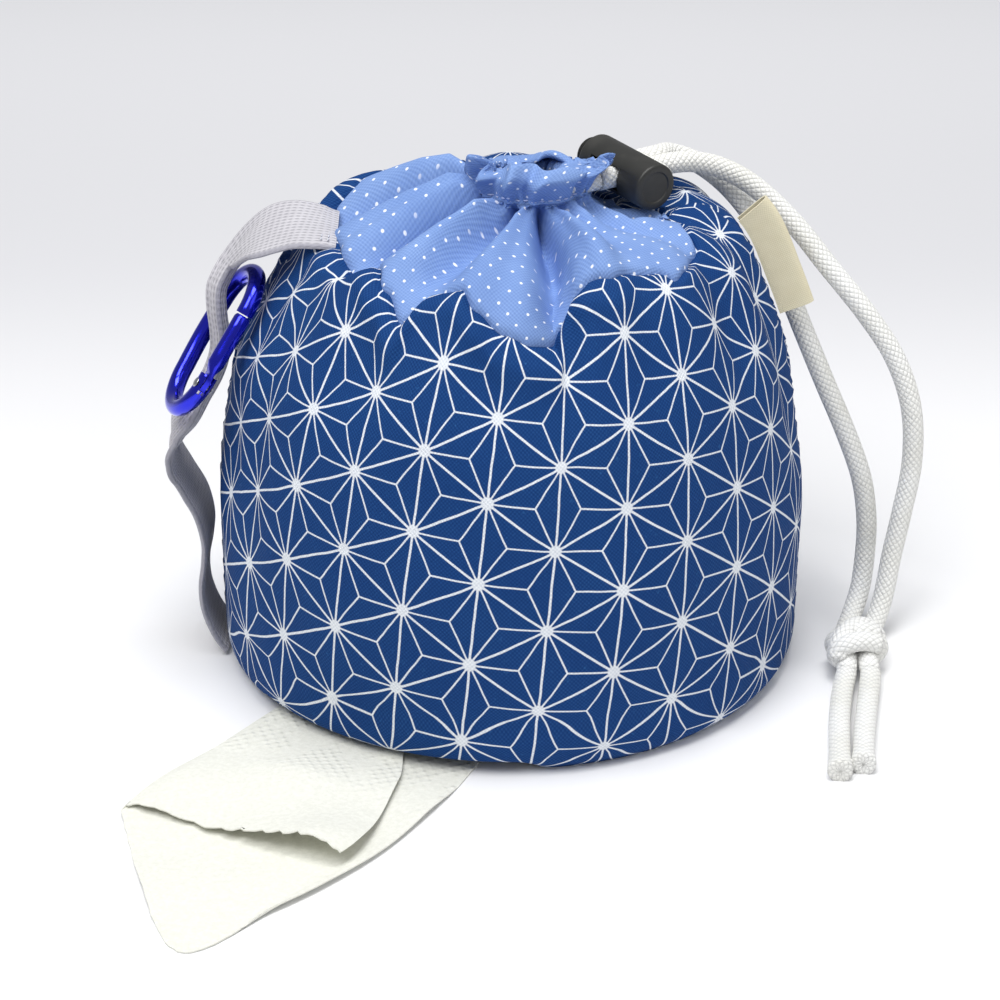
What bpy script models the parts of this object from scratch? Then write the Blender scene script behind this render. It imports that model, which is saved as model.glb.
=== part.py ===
"""Drawstring pouch that holds a roll of tissue and feeds it out under its base.

The origin is at the centre of the base on the floor, +Z is up and the front faces -Y.
Angles run anticlockwise from +X, so the front is at -90 degrees.
"""

import math

import bmesh
import bpy
from mathutils import Matrix, Vector

MM = 0.001

# Cloth body
BODY_RADIUS = 70.5 * MM
FOOT_TUCK = 4.3 * MM
FOOT_RISE = 14.0 * MM
WALL = 1.6 * MM
SHOULDER_RADIUS = 59.4 * MM
SHOULDER_HEIGHT = 92.0 * MM
CROWN_RADIUS = 43.0 * MM
CROWN_HEIGHT = 111.0 * MM
LEFT_DROP = 6.0 * MM
AROUND = 64

# Neck, with the channel for the cord and the ruffle over it
NECK_X = 5.0 * MM
NECK_Y = -1.0 * MM
NECK_RADIUS = 13.5 * MM
CHANNEL_HEIGHT = 119.0 * MM
RUFFLE_TOP = 127.5 * MM
RUFFLE_FLARE = 3.2 * MM
COLLAR_CLOTH = 1.0 * MM
PLEATS = 16
PLEAT_DEPTH = 0.55 * MM
FOLD_HEIGHT = 3.2 * MM

# Cord
CORD = 5.0 * MM
RING_CORD = 4.4 * MM
CORD_BEND = 4.2 * MM
CLEAR = 0.3 * MM

# Cord lock
LOCK_RADIUS = 5.5 * MM
LOCK_BORE = 4.2 * MM
LOCK_END = 1.5 * MM
SPRING_SPACE = 5.0 * MM
PLUNGER_END = 1.2 * MM
PLUNGER_GUIDE = 1.5 * MM
PLUNGER_TRAVEL = 2.5 * MM
BUTTON = 3.0 * MM
SPRING_WIRE = 0.6 * MM
SPRING_TURNS = 4
LOCK_HEADING = 35.0
LOCK_TILT = -0.06

# Base, roll and paper
PANEL_HEIGHT = 4.8 * MM
PANEL = 1.6 * MM
SLOT_LENGTH = 50.0 * MM
SLOT_WIDTH = 16.0 * MM
ROLL_RADIUS = 48.0 * MM
ROLL_HEIGHT = 88.5 * MM
CORE_RADIUS = 20.0 * MM
ARCH_HEIGHT = 3.0 * MM
PAPER = 0.5 * MM
LAYER_GAP = 0.6 * MM
PAPER_HEADING = -116.5

# Webbing strap and carabiner
STRAP_WIDTH = 20.0 * MM
STRAP = 1.4 * MM
PINCH_WIDTH = 9.0 * MM
PINCH_RIPPLE = 1.0 * MM
BAR = 4.2 * MM
CARABINER_SPACING = 19.0 * MM
CARABINER_LENGTH = 36.0 * MM
GATE_LENGTH = 17.0 * MM
GATE_BAR = 4.0 * MM
HOOK_FORK = 1.9 * MM
GATE_TONGUE = 1.3 * MM
RIVET = 1.6 * MM
HOOK_TOP = Vector((-SHOULDER_RADIUS - 0.4 * MM, -2.0 * MM, SHOULDER_HEIGHT + 3.4 * MM))
HOOK_DOWN = Vector((-0.5, -0.379, -0.778)).normalized()

# Side label
LABEL_DEPTH = 9.5 * MM
LABEL_GAP = 2.6 * MM
LABEL_CLOTH = 0.4 * MM
LABEL_SIDE = 3.0
LABEL_TOP = 7.35
LABEL_RUN = 1.75

NAVY = (0.012, 0.075, 0.262)
TISSUE = (0.87, 0.87, 0.8)
COTTON = (0.9, 0.9, 0.86)
STEEL = (0.6, 0.6, 0.6)

UP = Vector((0, 0, 1))


def smooth_step(value, low, high):
    """0 below low, 1 above high, smooth between."""
    share = min(1.0, max(0.0, (value - low) / (high - low)))
    return share * share * (3 - 2 * share)


def along(points, place):
    """A smooth curve through points; place counts in points."""
    last = len(points) - 1
    place = min(max(place, 0.0), float(last))
    index = min(int(place), last - 1)
    t = place - index
    a, b, c, d = (points[min(max(index + k, 0), last)] for k in (-1, 0, 1, 2))
    found = []
    for p, q, r, s in zip(a, b, c, d):
        bend = (2 * p - 5 * q + 4 * r - s) * t * t + (3 * q - p - 3 * r + s) * t ** 3
        found.append(0.5 * (2 * q + (r - p) * t + bend))
    return found


def sampled(points, count):
    """Points evenly spaced along the smooth curve through the given ones."""
    fine = [Vector(along(points, i * (len(points) - 1) / 400)) for i in range(401)]
    run = [0.0]
    for a, b in zip(fine, fine[1:]):
        run.append(run[-1] + (b - a).length)
    found = []
    spot = 0
    for i in range(count):
        want = run[-1] * i / (count - 1)
        while spot < 399 and run[spot + 1] < want:
            spot += 1
        share = (want - run[spot]) / max(run[spot + 1] - run[spot], 1e-12)
        found.append(fine[spot].lerp(fine[spot + 1], share))
    return found


def material(name, colour, roughness, metallic=0.0):
    made = bpy.data.materials.new(name)
    made.use_nodes = True
    shader = made.node_tree.nodes["Principled BSDF"]
    shader.inputs["Base Color"].default_value = (*colour, 1)
    shader.inputs["Roughness"].default_value = roughness
    shader.inputs["Metallic"].default_value = metallic
    return made


def add(name, mesh, look, sharp=40):
    """Put a mesh in the scene as one named piece."""
    mesh.materials.append(look)
    mesh.shade_smooth()
    mesh.set_sharp_from_angle(angle=math.radians(sharp))
    piece = bpy.data.objects.new(name, mesh)
    bpy.context.collection.objects.link(piece)
    return piece


def finished(name, bm):
    bm.normal_update()
    bmesh.ops.recalc_face_normals(bm, faces=bm.faces)
    mesh = bpy.data.meshes.new(name)
    bm.to_mesh(mesh)
    bm.free()
    return mesh


def loft(name, rows, ring=False, strip=False):
    """A skin over rows of points, each row a closed loop. The rows close too where ring is set,
    and otherwise the first and the last are capped, in pairs where the loop is there and back."""
    bm = bmesh.new()
    made = [[bm.verts.new(p) for p in row] for row in rows]
    count = len(made)
    for i in range(count if ring else count - 1):
        low, high = made[i], made[(i + 1) % count]
        for j in range(len(low)):
            k = (j + 1) % len(low)
            bm.faces.new((low[j], low[k], high[k], high[j]))
    for row in () if ring else (made[0], made[-1]):
        if strip:
            for j in range(len(row) // 2 - 1):
                bm.faces.new((row[j], row[j + 1], row[-2 - j], row[-1 - j]))
        else:
            bm.faces.new(row)
    return finished(name, bm)


def turned(name, outline, segments=32):
    """A solid turned about Z from a closed outline of (radius, height)."""
    rows = []
    for i in range(segments):
        turn = 2 * math.pi * i / segments
        rows.append([(r * math.cos(turn), r * math.sin(turn), z) for r, z in outline])
    return loft(name, rows, ring=True)


def rod(name, radius, start, end, sides=16):
    """A plain cylinder between two points."""
    bm = bmesh.new()
    run = end - start
    bmesh.ops.create_cone(
        bm, cap_ends=True, segments=sides, radius1=radius, radius2=radius, depth=run.length
    )
    turn = run.to_track_quat("Z", "Y").to_matrix().to_4x4()
    bm.transform(Matrix.Translation((start + end) / 2) @ turn)
    return finished(name, bm)


def block(name, size, frame):
    """A box of the given size, placed by a matrix."""
    bm = bmesh.new()
    bmesh.ops.create_cube(bm, size=1.0)
    bm.transform(frame @ Matrix.Diagonal((*size, 1)))
    return finished(name, bm)


def cut(piece, mesh):
    """Take a mesh away from a piece."""
    cutter = bpy.data.objects.new(piece.name + "_cutter", mesh)
    bpy.context.collection.objects.link(cutter)
    cutter.hide_render = True
    cutter.display_type = "WIRE"
    boolean = piece.modifiers.new("cut", "BOOLEAN")
    boolean.operation = "DIFFERENCE"
    boolean.object = cutter
    boolean.solver = "EXACT"


def tube(name, points, diameter, look, sides=2):
    """A round cord along points, with closed ends."""
    curve = bpy.data.curves.new(name, "CURVE")
    curve.dimensions = "3D"
    spline = curve.splines.new("POLY")
    spline.points.add(len(points) - 1)
    for point, place in zip(spline.points, points):
        point.co = (*place, 1)
    curve.bevel_depth = diameter / 2
    curve.bevel_resolution = sides
    curve.use_fill_caps = True
    curve.materials.append(look)
    piece = bpy.data.objects.new(name, curve)
    bpy.context.collection.objects.link(piece)
    return piece


def frame_of(origin, x_axis, y_axis, z_axis):
    turn = Matrix((x_axis, y_axis, z_axis)).transposed().to_4x4()
    return Matrix.Translation(origin) @ turn


# Cloth surface. Each row gives radius, height, how far its centre has moved to the neck,
# how much the left side drops, and how high the folds stand.
SLOPE = CROWN_HEIGHT - SHOULDER_HEIGHT
PROFILE = (
    (BODY_RADIUS - FOOT_TUCK, 0.0, 0.0, 0.0, 0.0),
    (BODY_RADIUS - FOOT_TUCK * 0.2, FOOT_RISE * 0.3, 0.0, 0.0, 0.0),
    (BODY_RADIUS, FOOT_RISE, 0.0, 0.0, 0.0),
    (BODY_RADIUS, SHOULDER_HEIGHT * 0.43, 0.0, 0.0, 0.0),
    (BODY_RADIUS * 0.8 + SHOULDER_RADIUS * 0.2, SHOULDER_HEIGHT * 0.65, 0.0, 0.0, 0.0),
    (BODY_RADIUS * 0.52 + SHOULDER_RADIUS * 0.48, SHOULDER_HEIGHT * 0.84, 0.0, 0.1, 0.0),
    (SHOULDER_RADIUS, SHOULDER_HEIGHT, 0.1, 0.5, 0.1),
    (SHOULDER_RADIUS * 0.58 + CROWN_RADIUS * 0.42, SHOULDER_HEIGHT + SLOPE * 0.68, 0.25, 0.8, 0.5),
    (CROWN_RADIUS, CROWN_HEIGHT, 0.45, 1.0, 1.0),
    (CROWN_RADIUS * 0.65 + NECK_RADIUS * 0.35, CROWN_HEIGHT + 1.4 * MM, 0.7, 0.6, 1.0),
    (CROWN_RADIUS * 0.3 + NECK_RADIUS * 0.7, CROWN_HEIGHT + 1.6 * MM, 0.9, 0.1, 0.7),
    (NECK_RADIUS + 1.8 * MM, CHANNEL_HEIGHT - 4.6 * MM, 1.0, 0.0, 0.2),
    (NECK_RADIUS + 0.2 * MM, CHANNEL_HEIGHT - 2.6 * MM, 1.0, 0.0, 0.0),
)
GATHER = len(PROFILE) - 1

# Folds of the collar: angle in degrees, height as a share of FOLD_HEIGHT, half width in degrees.
FOLDS = (
    (-150, 0.6, 9), (-128, 1.0, 11), (-104, 0.9, 8), (-62, 0.9, 12), (5, 0.3, 10), (62, 0.8, 11),
    (88, 0.7, 10), (113, 0.9, 11), (140, 1.0, 11),
)

# Seam between the patterned wall and the collar: angle in degrees, place on the profile.
SEAM_GAP = 0.03
SIDE_SEAM = 0.04 * MM
SEAM = (
    (-180, 8.6), (-160, 8.0), (-140, 7.4), (-119, 6.5), (-105, 7.5), (-92, 6.7), (-79, 6.3),
    (-68, 7.3), (-50, 7.7), (-30, 8.1), (-10, 9.0), (12, 10.2), (40, 10.6), (85, 10.6),
    (130, 10.6), (155, 10.0), (180, 8.6),
)


def turn_between(a, b):
    """Signed difference of two angles in degrees."""
    return (a - b + 180) % 360 - 180


def seam_place(degrees):
    degrees = turn_between(degrees, 0)
    for (a, low), (b, high) in zip(SEAM, SEAM[1:]):
        if a <= degrees <= b:
            return low + (high - low) * smooth_step(degrees, a, b)
    return SEAM[0][1]


def lock_axes():
    """Directions along the cords, along the lock and downward through it."""
    heading = math.radians(LOCK_HEADING)
    cords = Vector((math.cos(heading), math.sin(heading), 0))
    axis = Vector((math.sin(heading), -math.cos(heading), LOCK_TILT)).normalized()
    return cords, axis, cords.cross(axis)


NECK = Vector((NECK_X, NECK_Y, CHANNEL_HEIGHT))
CORDS, LOCK_AXIS, LOCK_DOWN = lock_axes()
RING_RADIUS = NECK_RADIUS - COLLAR_CLOTH - CLEAR - RING_CORD / 2
LANES = 2 * CORD + 3 * CLEAR
HOLE_HEIGHT = CORD + 2 * CLEAR
HOLE_START = LOCK_END + SPRING_SPACE + PLUNGER_END
BARREL_LENGTH = HOLE_START + LANES + PLUNGER_TRAVEL + PLUNGER_GUIDE
LOCK_STROKE = 7.0 * MM
LANE_FRONT = RING_RADIUS
LANE_BACK = RING_RADIUS - CORD - CLEAR
LOCK_OUT = NECK_RADIUS + PLEAT_DEPTH + CLEAR + LOCK_RADIUS
LOCK_HOLE = NECK + CORDS * LOCK_OUT + LOCK_AXIS * ((LANE_FRONT + LANE_BACK) / 2)
LOCK_FRONT = LOCK_HOLE + LOCK_AXIS * (HOLE_START + LANES / 2)
NEAR_START = NECK_RADIUS * 0.85
BACK_TURN = math.sqrt(RING_RADIUS ** 2 - (LANE_BACK - CORD_BEND) ** 2) + CORD_BEND
LOCK_SEAT = LOCK_FRONT.z - LOCK_RADIUS - 3 * CLEAR


def press_under_lock(point, depth=0.0):
    """Keep the cloth below the space that the lock slides through."""
    flat = Vector((point.x - NECK_X, point.y - NECK_Y, 0))
    out = flat.dot(Vector((CORDS.x, CORDS.y, 0)))
    side = flat.dot(Vector((LOCK_AXIS.x, LOCK_AXIS.y, 0)))
    front = HOLE_START + LANES / 2 + (LANE_FRONT + LANE_BACK) / 2
    back = front - BARREL_LENGTH - BUTTON
    past = max(
        NECK_RADIUS - out,
        out - LOCK_OUT - LOCK_RADIUS - LOCK_STROKE,
        side - front,
        back - side,
        0.0,
    )
    limit = LOCK_SEAT - depth + 0.9 * past
    return Vector((point.x, point.y, min(point.z, limit)))


def cloth(degrees, place):
    """A point of the outer face of the body and collar."""
    radius, height, shift, drop, fold = along(PROFILE, place)
    turn = math.radians(degrees)
    left = max(0.0, -math.cos(turn)) ** 2
    height -= LEFT_DROP * drop * left
    for middle, share, width in FOLDS:
        away = turn_between(degrees, middle) / width
        height += FOLD_HEIGHT * fold * share * math.exp(-away * away)
    arch = 1 - smooth_step(abs(turn_between(degrees, PAPER_HEADING)), 27, 34)
    height += ARCH_HEIGHT * arch * max(0.0, 1 - place)
    point = Vector((
        NECK_X * shift + radius * math.cos(turn),
        NECK_Y * shift + radius * math.sin(turn),
        height,
    ))
    if place > 6:
        point = press_under_lock(point)
    return point


def cloth_normal(degrees, place):
    step = 0.04
    low = max(place - step, 0.0)
    rise = cloth(degrees, low + 2 * step) - cloth(degrees, low)
    side = cloth(degrees + 1.0, place) - cloth(degrees - 1.0, place)
    return side.cross(rise).normalized()


def inner_face(degrees, place, depth=WALL):
    point = cloth(degrees, place) - cloth_normal(degrees, place) * depth
    return press_under_lock(point, depth) if place > GATHER - 4 else point


def wall_rows(low, high, count, depth):
    """Rows of cloth points between two places, which may depend on the angle."""
    rows = []
    for i in range(count):
        row = []
        for j in range(AROUND):
            degrees = 360.0 * j / AROUND - 180
            start, end = low(degrees), high(degrees)
            place = start + (end - start) * i / (count - 1)
            row.append(inner_face(degrees, place, depth) if depth else cloth(degrees, place))
        rows.append(row)
    return rows


def wall_panel(name, start, look):
    """Patterned cloth from the foot to the seam with the collar, over half the way round."""
    shoulder = 6.0
    edge = math.degrees(SIDE_SEAM / 2 / BODY_RADIUS)
    columns = []
    for j in range(AROUND // 2 + 1):
        degrees = start + min(max(360.0 * j / AROUND, edge), 180.0 - edge)
        top = seam_place(degrees) - SEAM_GAP
        outside = [cloth(degrees, place) for place in (0.0, 0.5, 1.0, 2.0, 3.0, 4.0, 5.0)]
        outside += [cloth(degrees, shoulder + (top - shoulder) * i / 5) for i in range(6)]
        inside = [inner_face(degrees, shoulder + (top - shoulder) * i / 4) for i in range(4, -1, -1)]
        inside += [inner_face(degrees, place) for place in (5.0, 4.0, 2.5, 1.0)]
        inward = Vector((outside[0].x, outside[0].y, 0)).normalized() * WALL
        columns.append(outside + inside + [outside[0] - inward])
    return add(name, loft(name, columns), look)


def neck_row(radius, height, pleat=0.0):
    row = []
    for j in range(AROUND):
        degrees = 360.0 * j / AROUND - 180
        turn = math.radians(degrees)
        wide = radius + pleat * math.cos(PLEATS * turn)
        row.append(Vector((NECK_X + wide * math.cos(turn), NECK_Y + wide * math.sin(turn), height)))
    return row


def inward_of_neck(point):
    """The same height, one thickness of cloth nearer the axis of the neck."""
    flat = Vector((point.x - NECK_X, point.y - NECK_Y, 0))
    return point - flat.normalized() * COLLAR_CLOTH


def collar(look):
    """Plain cloth from the seam up to the neck, folded over the cord as a channel, with the
    ruffle above it. The hem comes down inside and ends close to the outer layer."""
    low = lambda d: seam_place(d) + SEAM_GAP
    high = lambda d: float(GATHER)
    z = CHANNEL_HEIGHT
    half = RING_CORD / 2 + 3 * CLEAR
    outer = NECK_RADIUS
    inner = outer - COLLAR_CLOTH
    bore = RING_RADIUS - half
    mouth = bore - COLLAR_CLOTH
    deep = PLEAT_DEPTH
    rows = wall_rows(low, high, 7, 0)
    rows += [neck_row(outer, z, deep), neck_row(outer, z + half, deep)]
    rows += [neck_row(outer - 0.4 * MM, z + half + 1.4 * MM, deep)]
    flare = outer + RUFFLE_FLARE
    rows += [neck_row((outer + flare) / 2, RUFFLE_TOP - 2.4 * MM, 1.6 * deep)]
    rows += [neck_row(flare, RUFFLE_TOP - 0.5 * MM, 2.4 * deep)]
    rows += [neck_row(flare - 0.9 * MM, RUFFLE_TOP, 2.4 * deep)]
    rows += [neck_row((outer + flare) / 2 - 1.8 * MM, RUFFLE_TOP - 2.2 * MM, 1.6 * deep)]
    rows += [neck_row(inner - 1.3 * MM, z + half + 1.7 * MM)]
    rows += [neck_row(RING_RADIUS - 1.2 * MM, z + half + 1.0 * MM)]
    rows += [neck_row(mouth, z + 1.2 * MM), neck_row(mouth, z - 1.2 * MM)]
    rows += [neck_row(RING_RADIUS - 1.2 * MM, z - half - 1.0 * MM)]
    rows += [neck_row(RING_RADIUS + 1.0 * MM, z - half - 0.8 * MM)]
    rows += [neck_row(RING_RADIUS + 1.0 * MM, z - half)]
    rows += [neck_row(RING_RADIUS - 1.0 * MM, z - half), neck_row(bore, z - 1.0 * MM)]
    rows += [neck_row(bore, z + 1.0 * MM), neck_row(RING_RADIUS - 1.0 * MM, z + half)]
    rows += [neck_row(RING_RADIUS + 1.0 * MM, z + half), neck_row(inner, z + 1.4 * MM)]
    rows += [neck_row(inner, z - 1.4 * MM)]
    rows += [[inward_of_neck(point) for point in wall_rows(low, high, 2, 0)[-1]]]
    rows += wall_rows(low, lambda d: GATHER - 0.5, 5, COLLAR_CLOTH)[::-1]
    piece = add("collar", loft("collar", rows, ring=True), look)
    wide = LANES + 2 * CLEAR + 0.5 * CORD
    middle = LANE_FRONT + CORD / 2 + 2 * CLEAR - wide / 2
    exit_frame = frame_of(NECK + CORDS * NECK_RADIUS + LOCK_AXIS * middle, CORDS, LOCK_AXIS, LOCK_DOWN)
    cut(piece, block("buttonhole", (NECK_RADIUS * 1.6, wide, HOLE_HEIGHT + 4 * CLEAR), exit_frame))
    return piece


def base_panel(look):
    """Round cloth base, recessed inside the foot, with a slot for the paper."""
    radius = BODY_RADIUS - FOOT_TUCK * 0.2 - WALL - 3 * CLEAR
    top = PANEL_HEIGHT + PANEL
    bm = bmesh.new()
    bmesh.ops.create_cone(
        bm, cap_ends=True, segments=AROUND, radius1=radius - 0.9 * MM, radius2=radius, depth=PANEL
    )
    bm.transform(Matrix.Translation((0, 0, (PANEL_HEIGHT + top) / 2)))
    piece = add("base_panel", finished("base_panel", bm), look)
    rim = []
    for i in range(24):
        turn = 2 * math.pi * i / 24
        side = math.copysign(SLOT_LENGTH / 2 - SLOT_WIDTH / 2, math.cos(turn))
        rim.append((side + SLOT_WIDTH / 2 * math.cos(turn), SLOT_WIDTH / 2 * math.sin(turn)))
    rows = [[Vector((x, y, z)) for x, y in rim] for z in (0.0, 2 * top)]
    slot = loft("paper_slot", rows)
    slot.transform(Matrix.Rotation(math.radians(PAPER_HEADING + 90), 4, "Z"))
    cut(piece, slot)
    return piece


def tissue_roll(look):
    low = PANEL_HEIGHT + PANEL + CLEAR
    high = low + ROLL_HEIGHT
    edge = 1.5 * MM
    outline = (
        (CORE_RADIUS, low), (ROLL_RADIUS - edge, low), (ROLL_RADIUS, low + edge),
        (ROLL_RADIUS, high - edge), (ROLL_RADIUS - edge, high), (CORE_RADIUS, high),
    )
    return add("tissue_roll", turned("tissue_roll", outline, 48), look)


# Paper: height, then run and reach across for the lower layer from its free edge to the fold, and
# for the upper layer from the fold to its free edge, all in millimetres
PAPER_STATIONS = (
    (46.0, ((16.2, 7), (16.2, 0), (16.2, -6)), ((16.2, -6), (16.2, 0), (16.2, 6))),
    (26.0, ((15.5, 7), (15.5, 0), (15.5, -6.5)), ((15.5, -6.5), (15.5, 0), (15.5, 6))),
    (14.0, ((10, 9), (10, 0), (10, -9)), ((10, -9), (10, 0), (10, 8))),
    (6.6, ((4, 11), (4, 0), (4, -11)), ((4, -11), (4, 0), (4, 9))),
    (1.8, ((5, 13), (5, 0), (5, -13)), ((5, -13), (5, 0), (5, 10))),
    (0.0, ((14, 17), (14, 0), (14, -18)), ((14, -18), (14, -4), (14, 10))),
    (0.0, ((35, 21), (35, -2), (35, -26)), ((35, -26), (35, -10), (35, 6))),
    (0.0, ((60, 22), (60, -4), (60, -31)), ((60, -31), (60, -14), (60, 4))),
    (0.0, ((78, 22.5), (80, -4), (76, -33.5)), ((76, -33.5), (76, -13), (76, 10))),
    (0.0, ((102, 20.5), (104, -4), (95, -36.3)), ((95, -36.3), (95, -11), (95, 14.5))),
    (0.0, ((121, 15.5), (130, -3), (106, -37.8)), ((104, -37.6), (106, -11), (107, 16))),
    (0.0, ((135, 9.7), (153, -1.6), (115, -39)), ((113, -38.7), (113, -9), (112.7, 15.3))),
)


def paper_tail(look):
    """A strip of paper folded lengthwise, its fold on the left. It comes out of the roll's core,
    goes down through the slot, under the foot's arch and out over the floor."""
    heading = math.radians(PAPER_HEADING)
    ahead = Vector((math.cos(heading), math.sin(heading), 0))
    right = Vector((-math.sin(heading), math.cos(heading), 0))
    thick = PAPER / MM
    level = thick + LAYER_GAP / MM
    rows = []
    for height, lower, upper in PAPER_STATIONS:
        upright = smooth_step(height, 0.0, 9.0)
        rise = (UP * (1 - upright) + ahead * upright).normalized()
        fold_run, fold_across = lower[-1]
        fold = [(fold_run, fold_across - 1.0, level / 2 + thick / 2)]
        crease = [(fold_run, fold_across - 0.5, level / 2 + thick / 2)]
        outer = [(run, across, 0.0) for run, across in lower] + fold
        outer += [(run, across, level + thick) for run, across in upper]
        inner = [(run, across, thick) for run, across in lower] + crease
        inner += [(run, across, level) for run, across in upper]
        row = []
        for run, across, lift in outer + inner[::-1]:
            row.append((ahead * run + UP * height + right * across + rise * lift) * MM)
        rows.append(row)
    return add("paper_tail", loft("paper_tail", rows, strip=True), look)


def channel_cord(look):
    """The cord inside the channel: it leaves at the front by its tangent and at the back in a turn."""
    start = math.degrees(math.atan2(LOCK_AXIS.y, LOCK_AXIS.x))
    end = start + math.degrees(math.acos((LANE_BACK - CORD_BEND) / RING_RADIUS))
    points = [NECK + CORDS * (NEAR_START - 2 * CLEAR) + LOCK_AXIS * RING_RADIUS]
    points.append(NECK + CORDS * NEAR_START * 0.45 + LOCK_AXIS * RING_RADIUS * 0.995)
    steps = 26
    first = start - 4
    for i in range(steps + 1):
        turn = math.radians(first - (first - end + 360) * i / steps)
        points.append(NECK + Vector((math.cos(turn), math.sin(turn), 0)) * RING_RADIUS)
    for i in range(1, 6):
        turn = math.radians(18 * i)
        side = LANE_BACK - CORD_BEND * (1 - math.sin(turn))
        out = BACK_TURN - CORD_BEND * math.cos(turn)
        points.append(NECK + CORDS * out + LOCK_AXIS * side)
    return tube("channel_cord", sampled(points, 44), RING_CORD, look)


def lock_barrel(look):
    """Cylinder with a blind bore for plunger and spring, and a cross hole for two cords."""
    length = BARREL_LENGTH
    edge = 0.5 * MM
    outline = (
        (0, 0), (LOCK_RADIUS - edge, 0), (LOCK_RADIUS, edge), (LOCK_RADIUS, length - edge),
        (LOCK_RADIUS - edge, length), (LOCK_BORE, length), (LOCK_BORE, LOCK_END), (0, LOCK_END),
    )
    barrel = revolve_along("cord_lock_barrel", outline, LOCK_FRONT, -LOCK_AXIS, 24)
    barrel = add("cord_lock_barrel", barrel, look)
    hole = frame_of(LOCK_HOLE, CORDS, LOCK_AXIS, LOCK_DOWN)
    cut(barrel, block("cross_hole", (4 * LOCK_RADIUS, LANES, HOLE_HEIGHT), hole))


def revolve_along(name, outline, origin, axis, segments):
    """Turn an outline that starts and ends on the axis, and lay the axis along a direction."""
    bm = bmesh.new()
    ends = [bm.verts.new((0, 0, outline[0][1])), bm.verts.new((0, 0, outline[-1][1]))]
    rings = []
    for radius, height in outline[1:-1]:
        ring = []
        for i in range(segments):
            turn = 2 * math.pi * i / segments
            ring.append(bm.verts.new((radius * math.cos(turn), radius * math.sin(turn), height)))
        rings.append(ring)
    for low, high in zip(rings, rings[1:]):
        for i in range(segments):
            j = (i + 1) % segments
            bm.faces.new((low[i], low[j], high[j], high[i]))
    for end, ring in ((ends[0], rings[0]), (ends[1], rings[-1])):
        for i in range(segments):
            bm.faces.new((end, ring[i], ring[(i + 1) % segments]))
    bm.transform(Matrix.Translation(origin) @ axis.to_track_quat("Z", "Y").to_matrix().to_4x4())
    return finished(name, bm)


def cord_lock(barrel_look, plunger_look, steel):
    """Barrel, plunger and spring, measured from the closed front end backwards."""
    lock_barrel(barrel_look)
    back = -LOCK_AXIS
    rod_radius = LOCK_BORE - CLEAR
    start = LOCK_END + SPRING_SPACE
    end = BARREL_LENGTH + BUTTON
    edge = 0.6 * MM
    outline = (
        (0, start), (rod_radius, start), (rod_radius, end - edge), (rod_radius - edge, end), (0, end),
    )
    plunger = revolve_along("cord_lock_plunger", outline, LOCK_FRONT, back, 24)
    plunger = add("cord_lock_plunger", plunger, plunger_look)
    wide = LANES + PLUNGER_TRAVEL
    slot = frame_of(LOCK_HOLE - LOCK_AXIS * PLUNGER_TRAVEL / 2, CORDS, LOCK_AXIS, LOCK_DOWN)
    cut(plunger, block("plunger_slot", (4 * LOCK_RADIUS, wide, HOLE_HEIGHT), slot))
    low = LOCK_FRONT + back * (LOCK_END + CLEAR + SPRING_WIRE / 2)
    rise = SPRING_SPACE - 2 * CLEAR - SPRING_WIRE
    coil = LOCK_BORE - CLEAR - SPRING_WIRE / 2 - 0.3 * MM
    turns = 12 * SPRING_TURNS
    points = []
    for i in range(turns + 1):
        turn = 2 * math.pi * i / 12
        across = CORDS * math.cos(turn) + LOCK_DOWN * math.sin(turn)
        points.append(low + back * rise * i / turns + across * coil)
    tube("cord_lock_spring", points, SPRING_WIRE, steel, sides=1)


def hook_axes():
    """Directions down the carabiner, across it to the gate, and out of its plane."""
    across = Vector((0.364, -0.915, 0.21))
    across = (across - HOOK_DOWN * across.dot(HOOK_DOWN)).normalized()
    return across, HOOK_DOWN.cross(across)


HOOK_ACROSS, HOOK_OUT = hook_axes()


def hook_point(down, across, out=0.0):
    return HOOK_TOP + HOOK_DOWN * down + HOOK_ACROSS * across + HOOK_OUT * out


def round_row(centre, run, radius, sides=10, turn_from=None):
    side = run.cross(turn_from if turn_from else HOOK_OUT).normalized()
    other = run.cross(side).normalized()
    row = []
    for i in range(sides):
        turn = 2 * math.pi * i / sides
        row.append(centre + (side * math.cos(turn) + other * math.sin(turn)) * radius)
    return row


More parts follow.
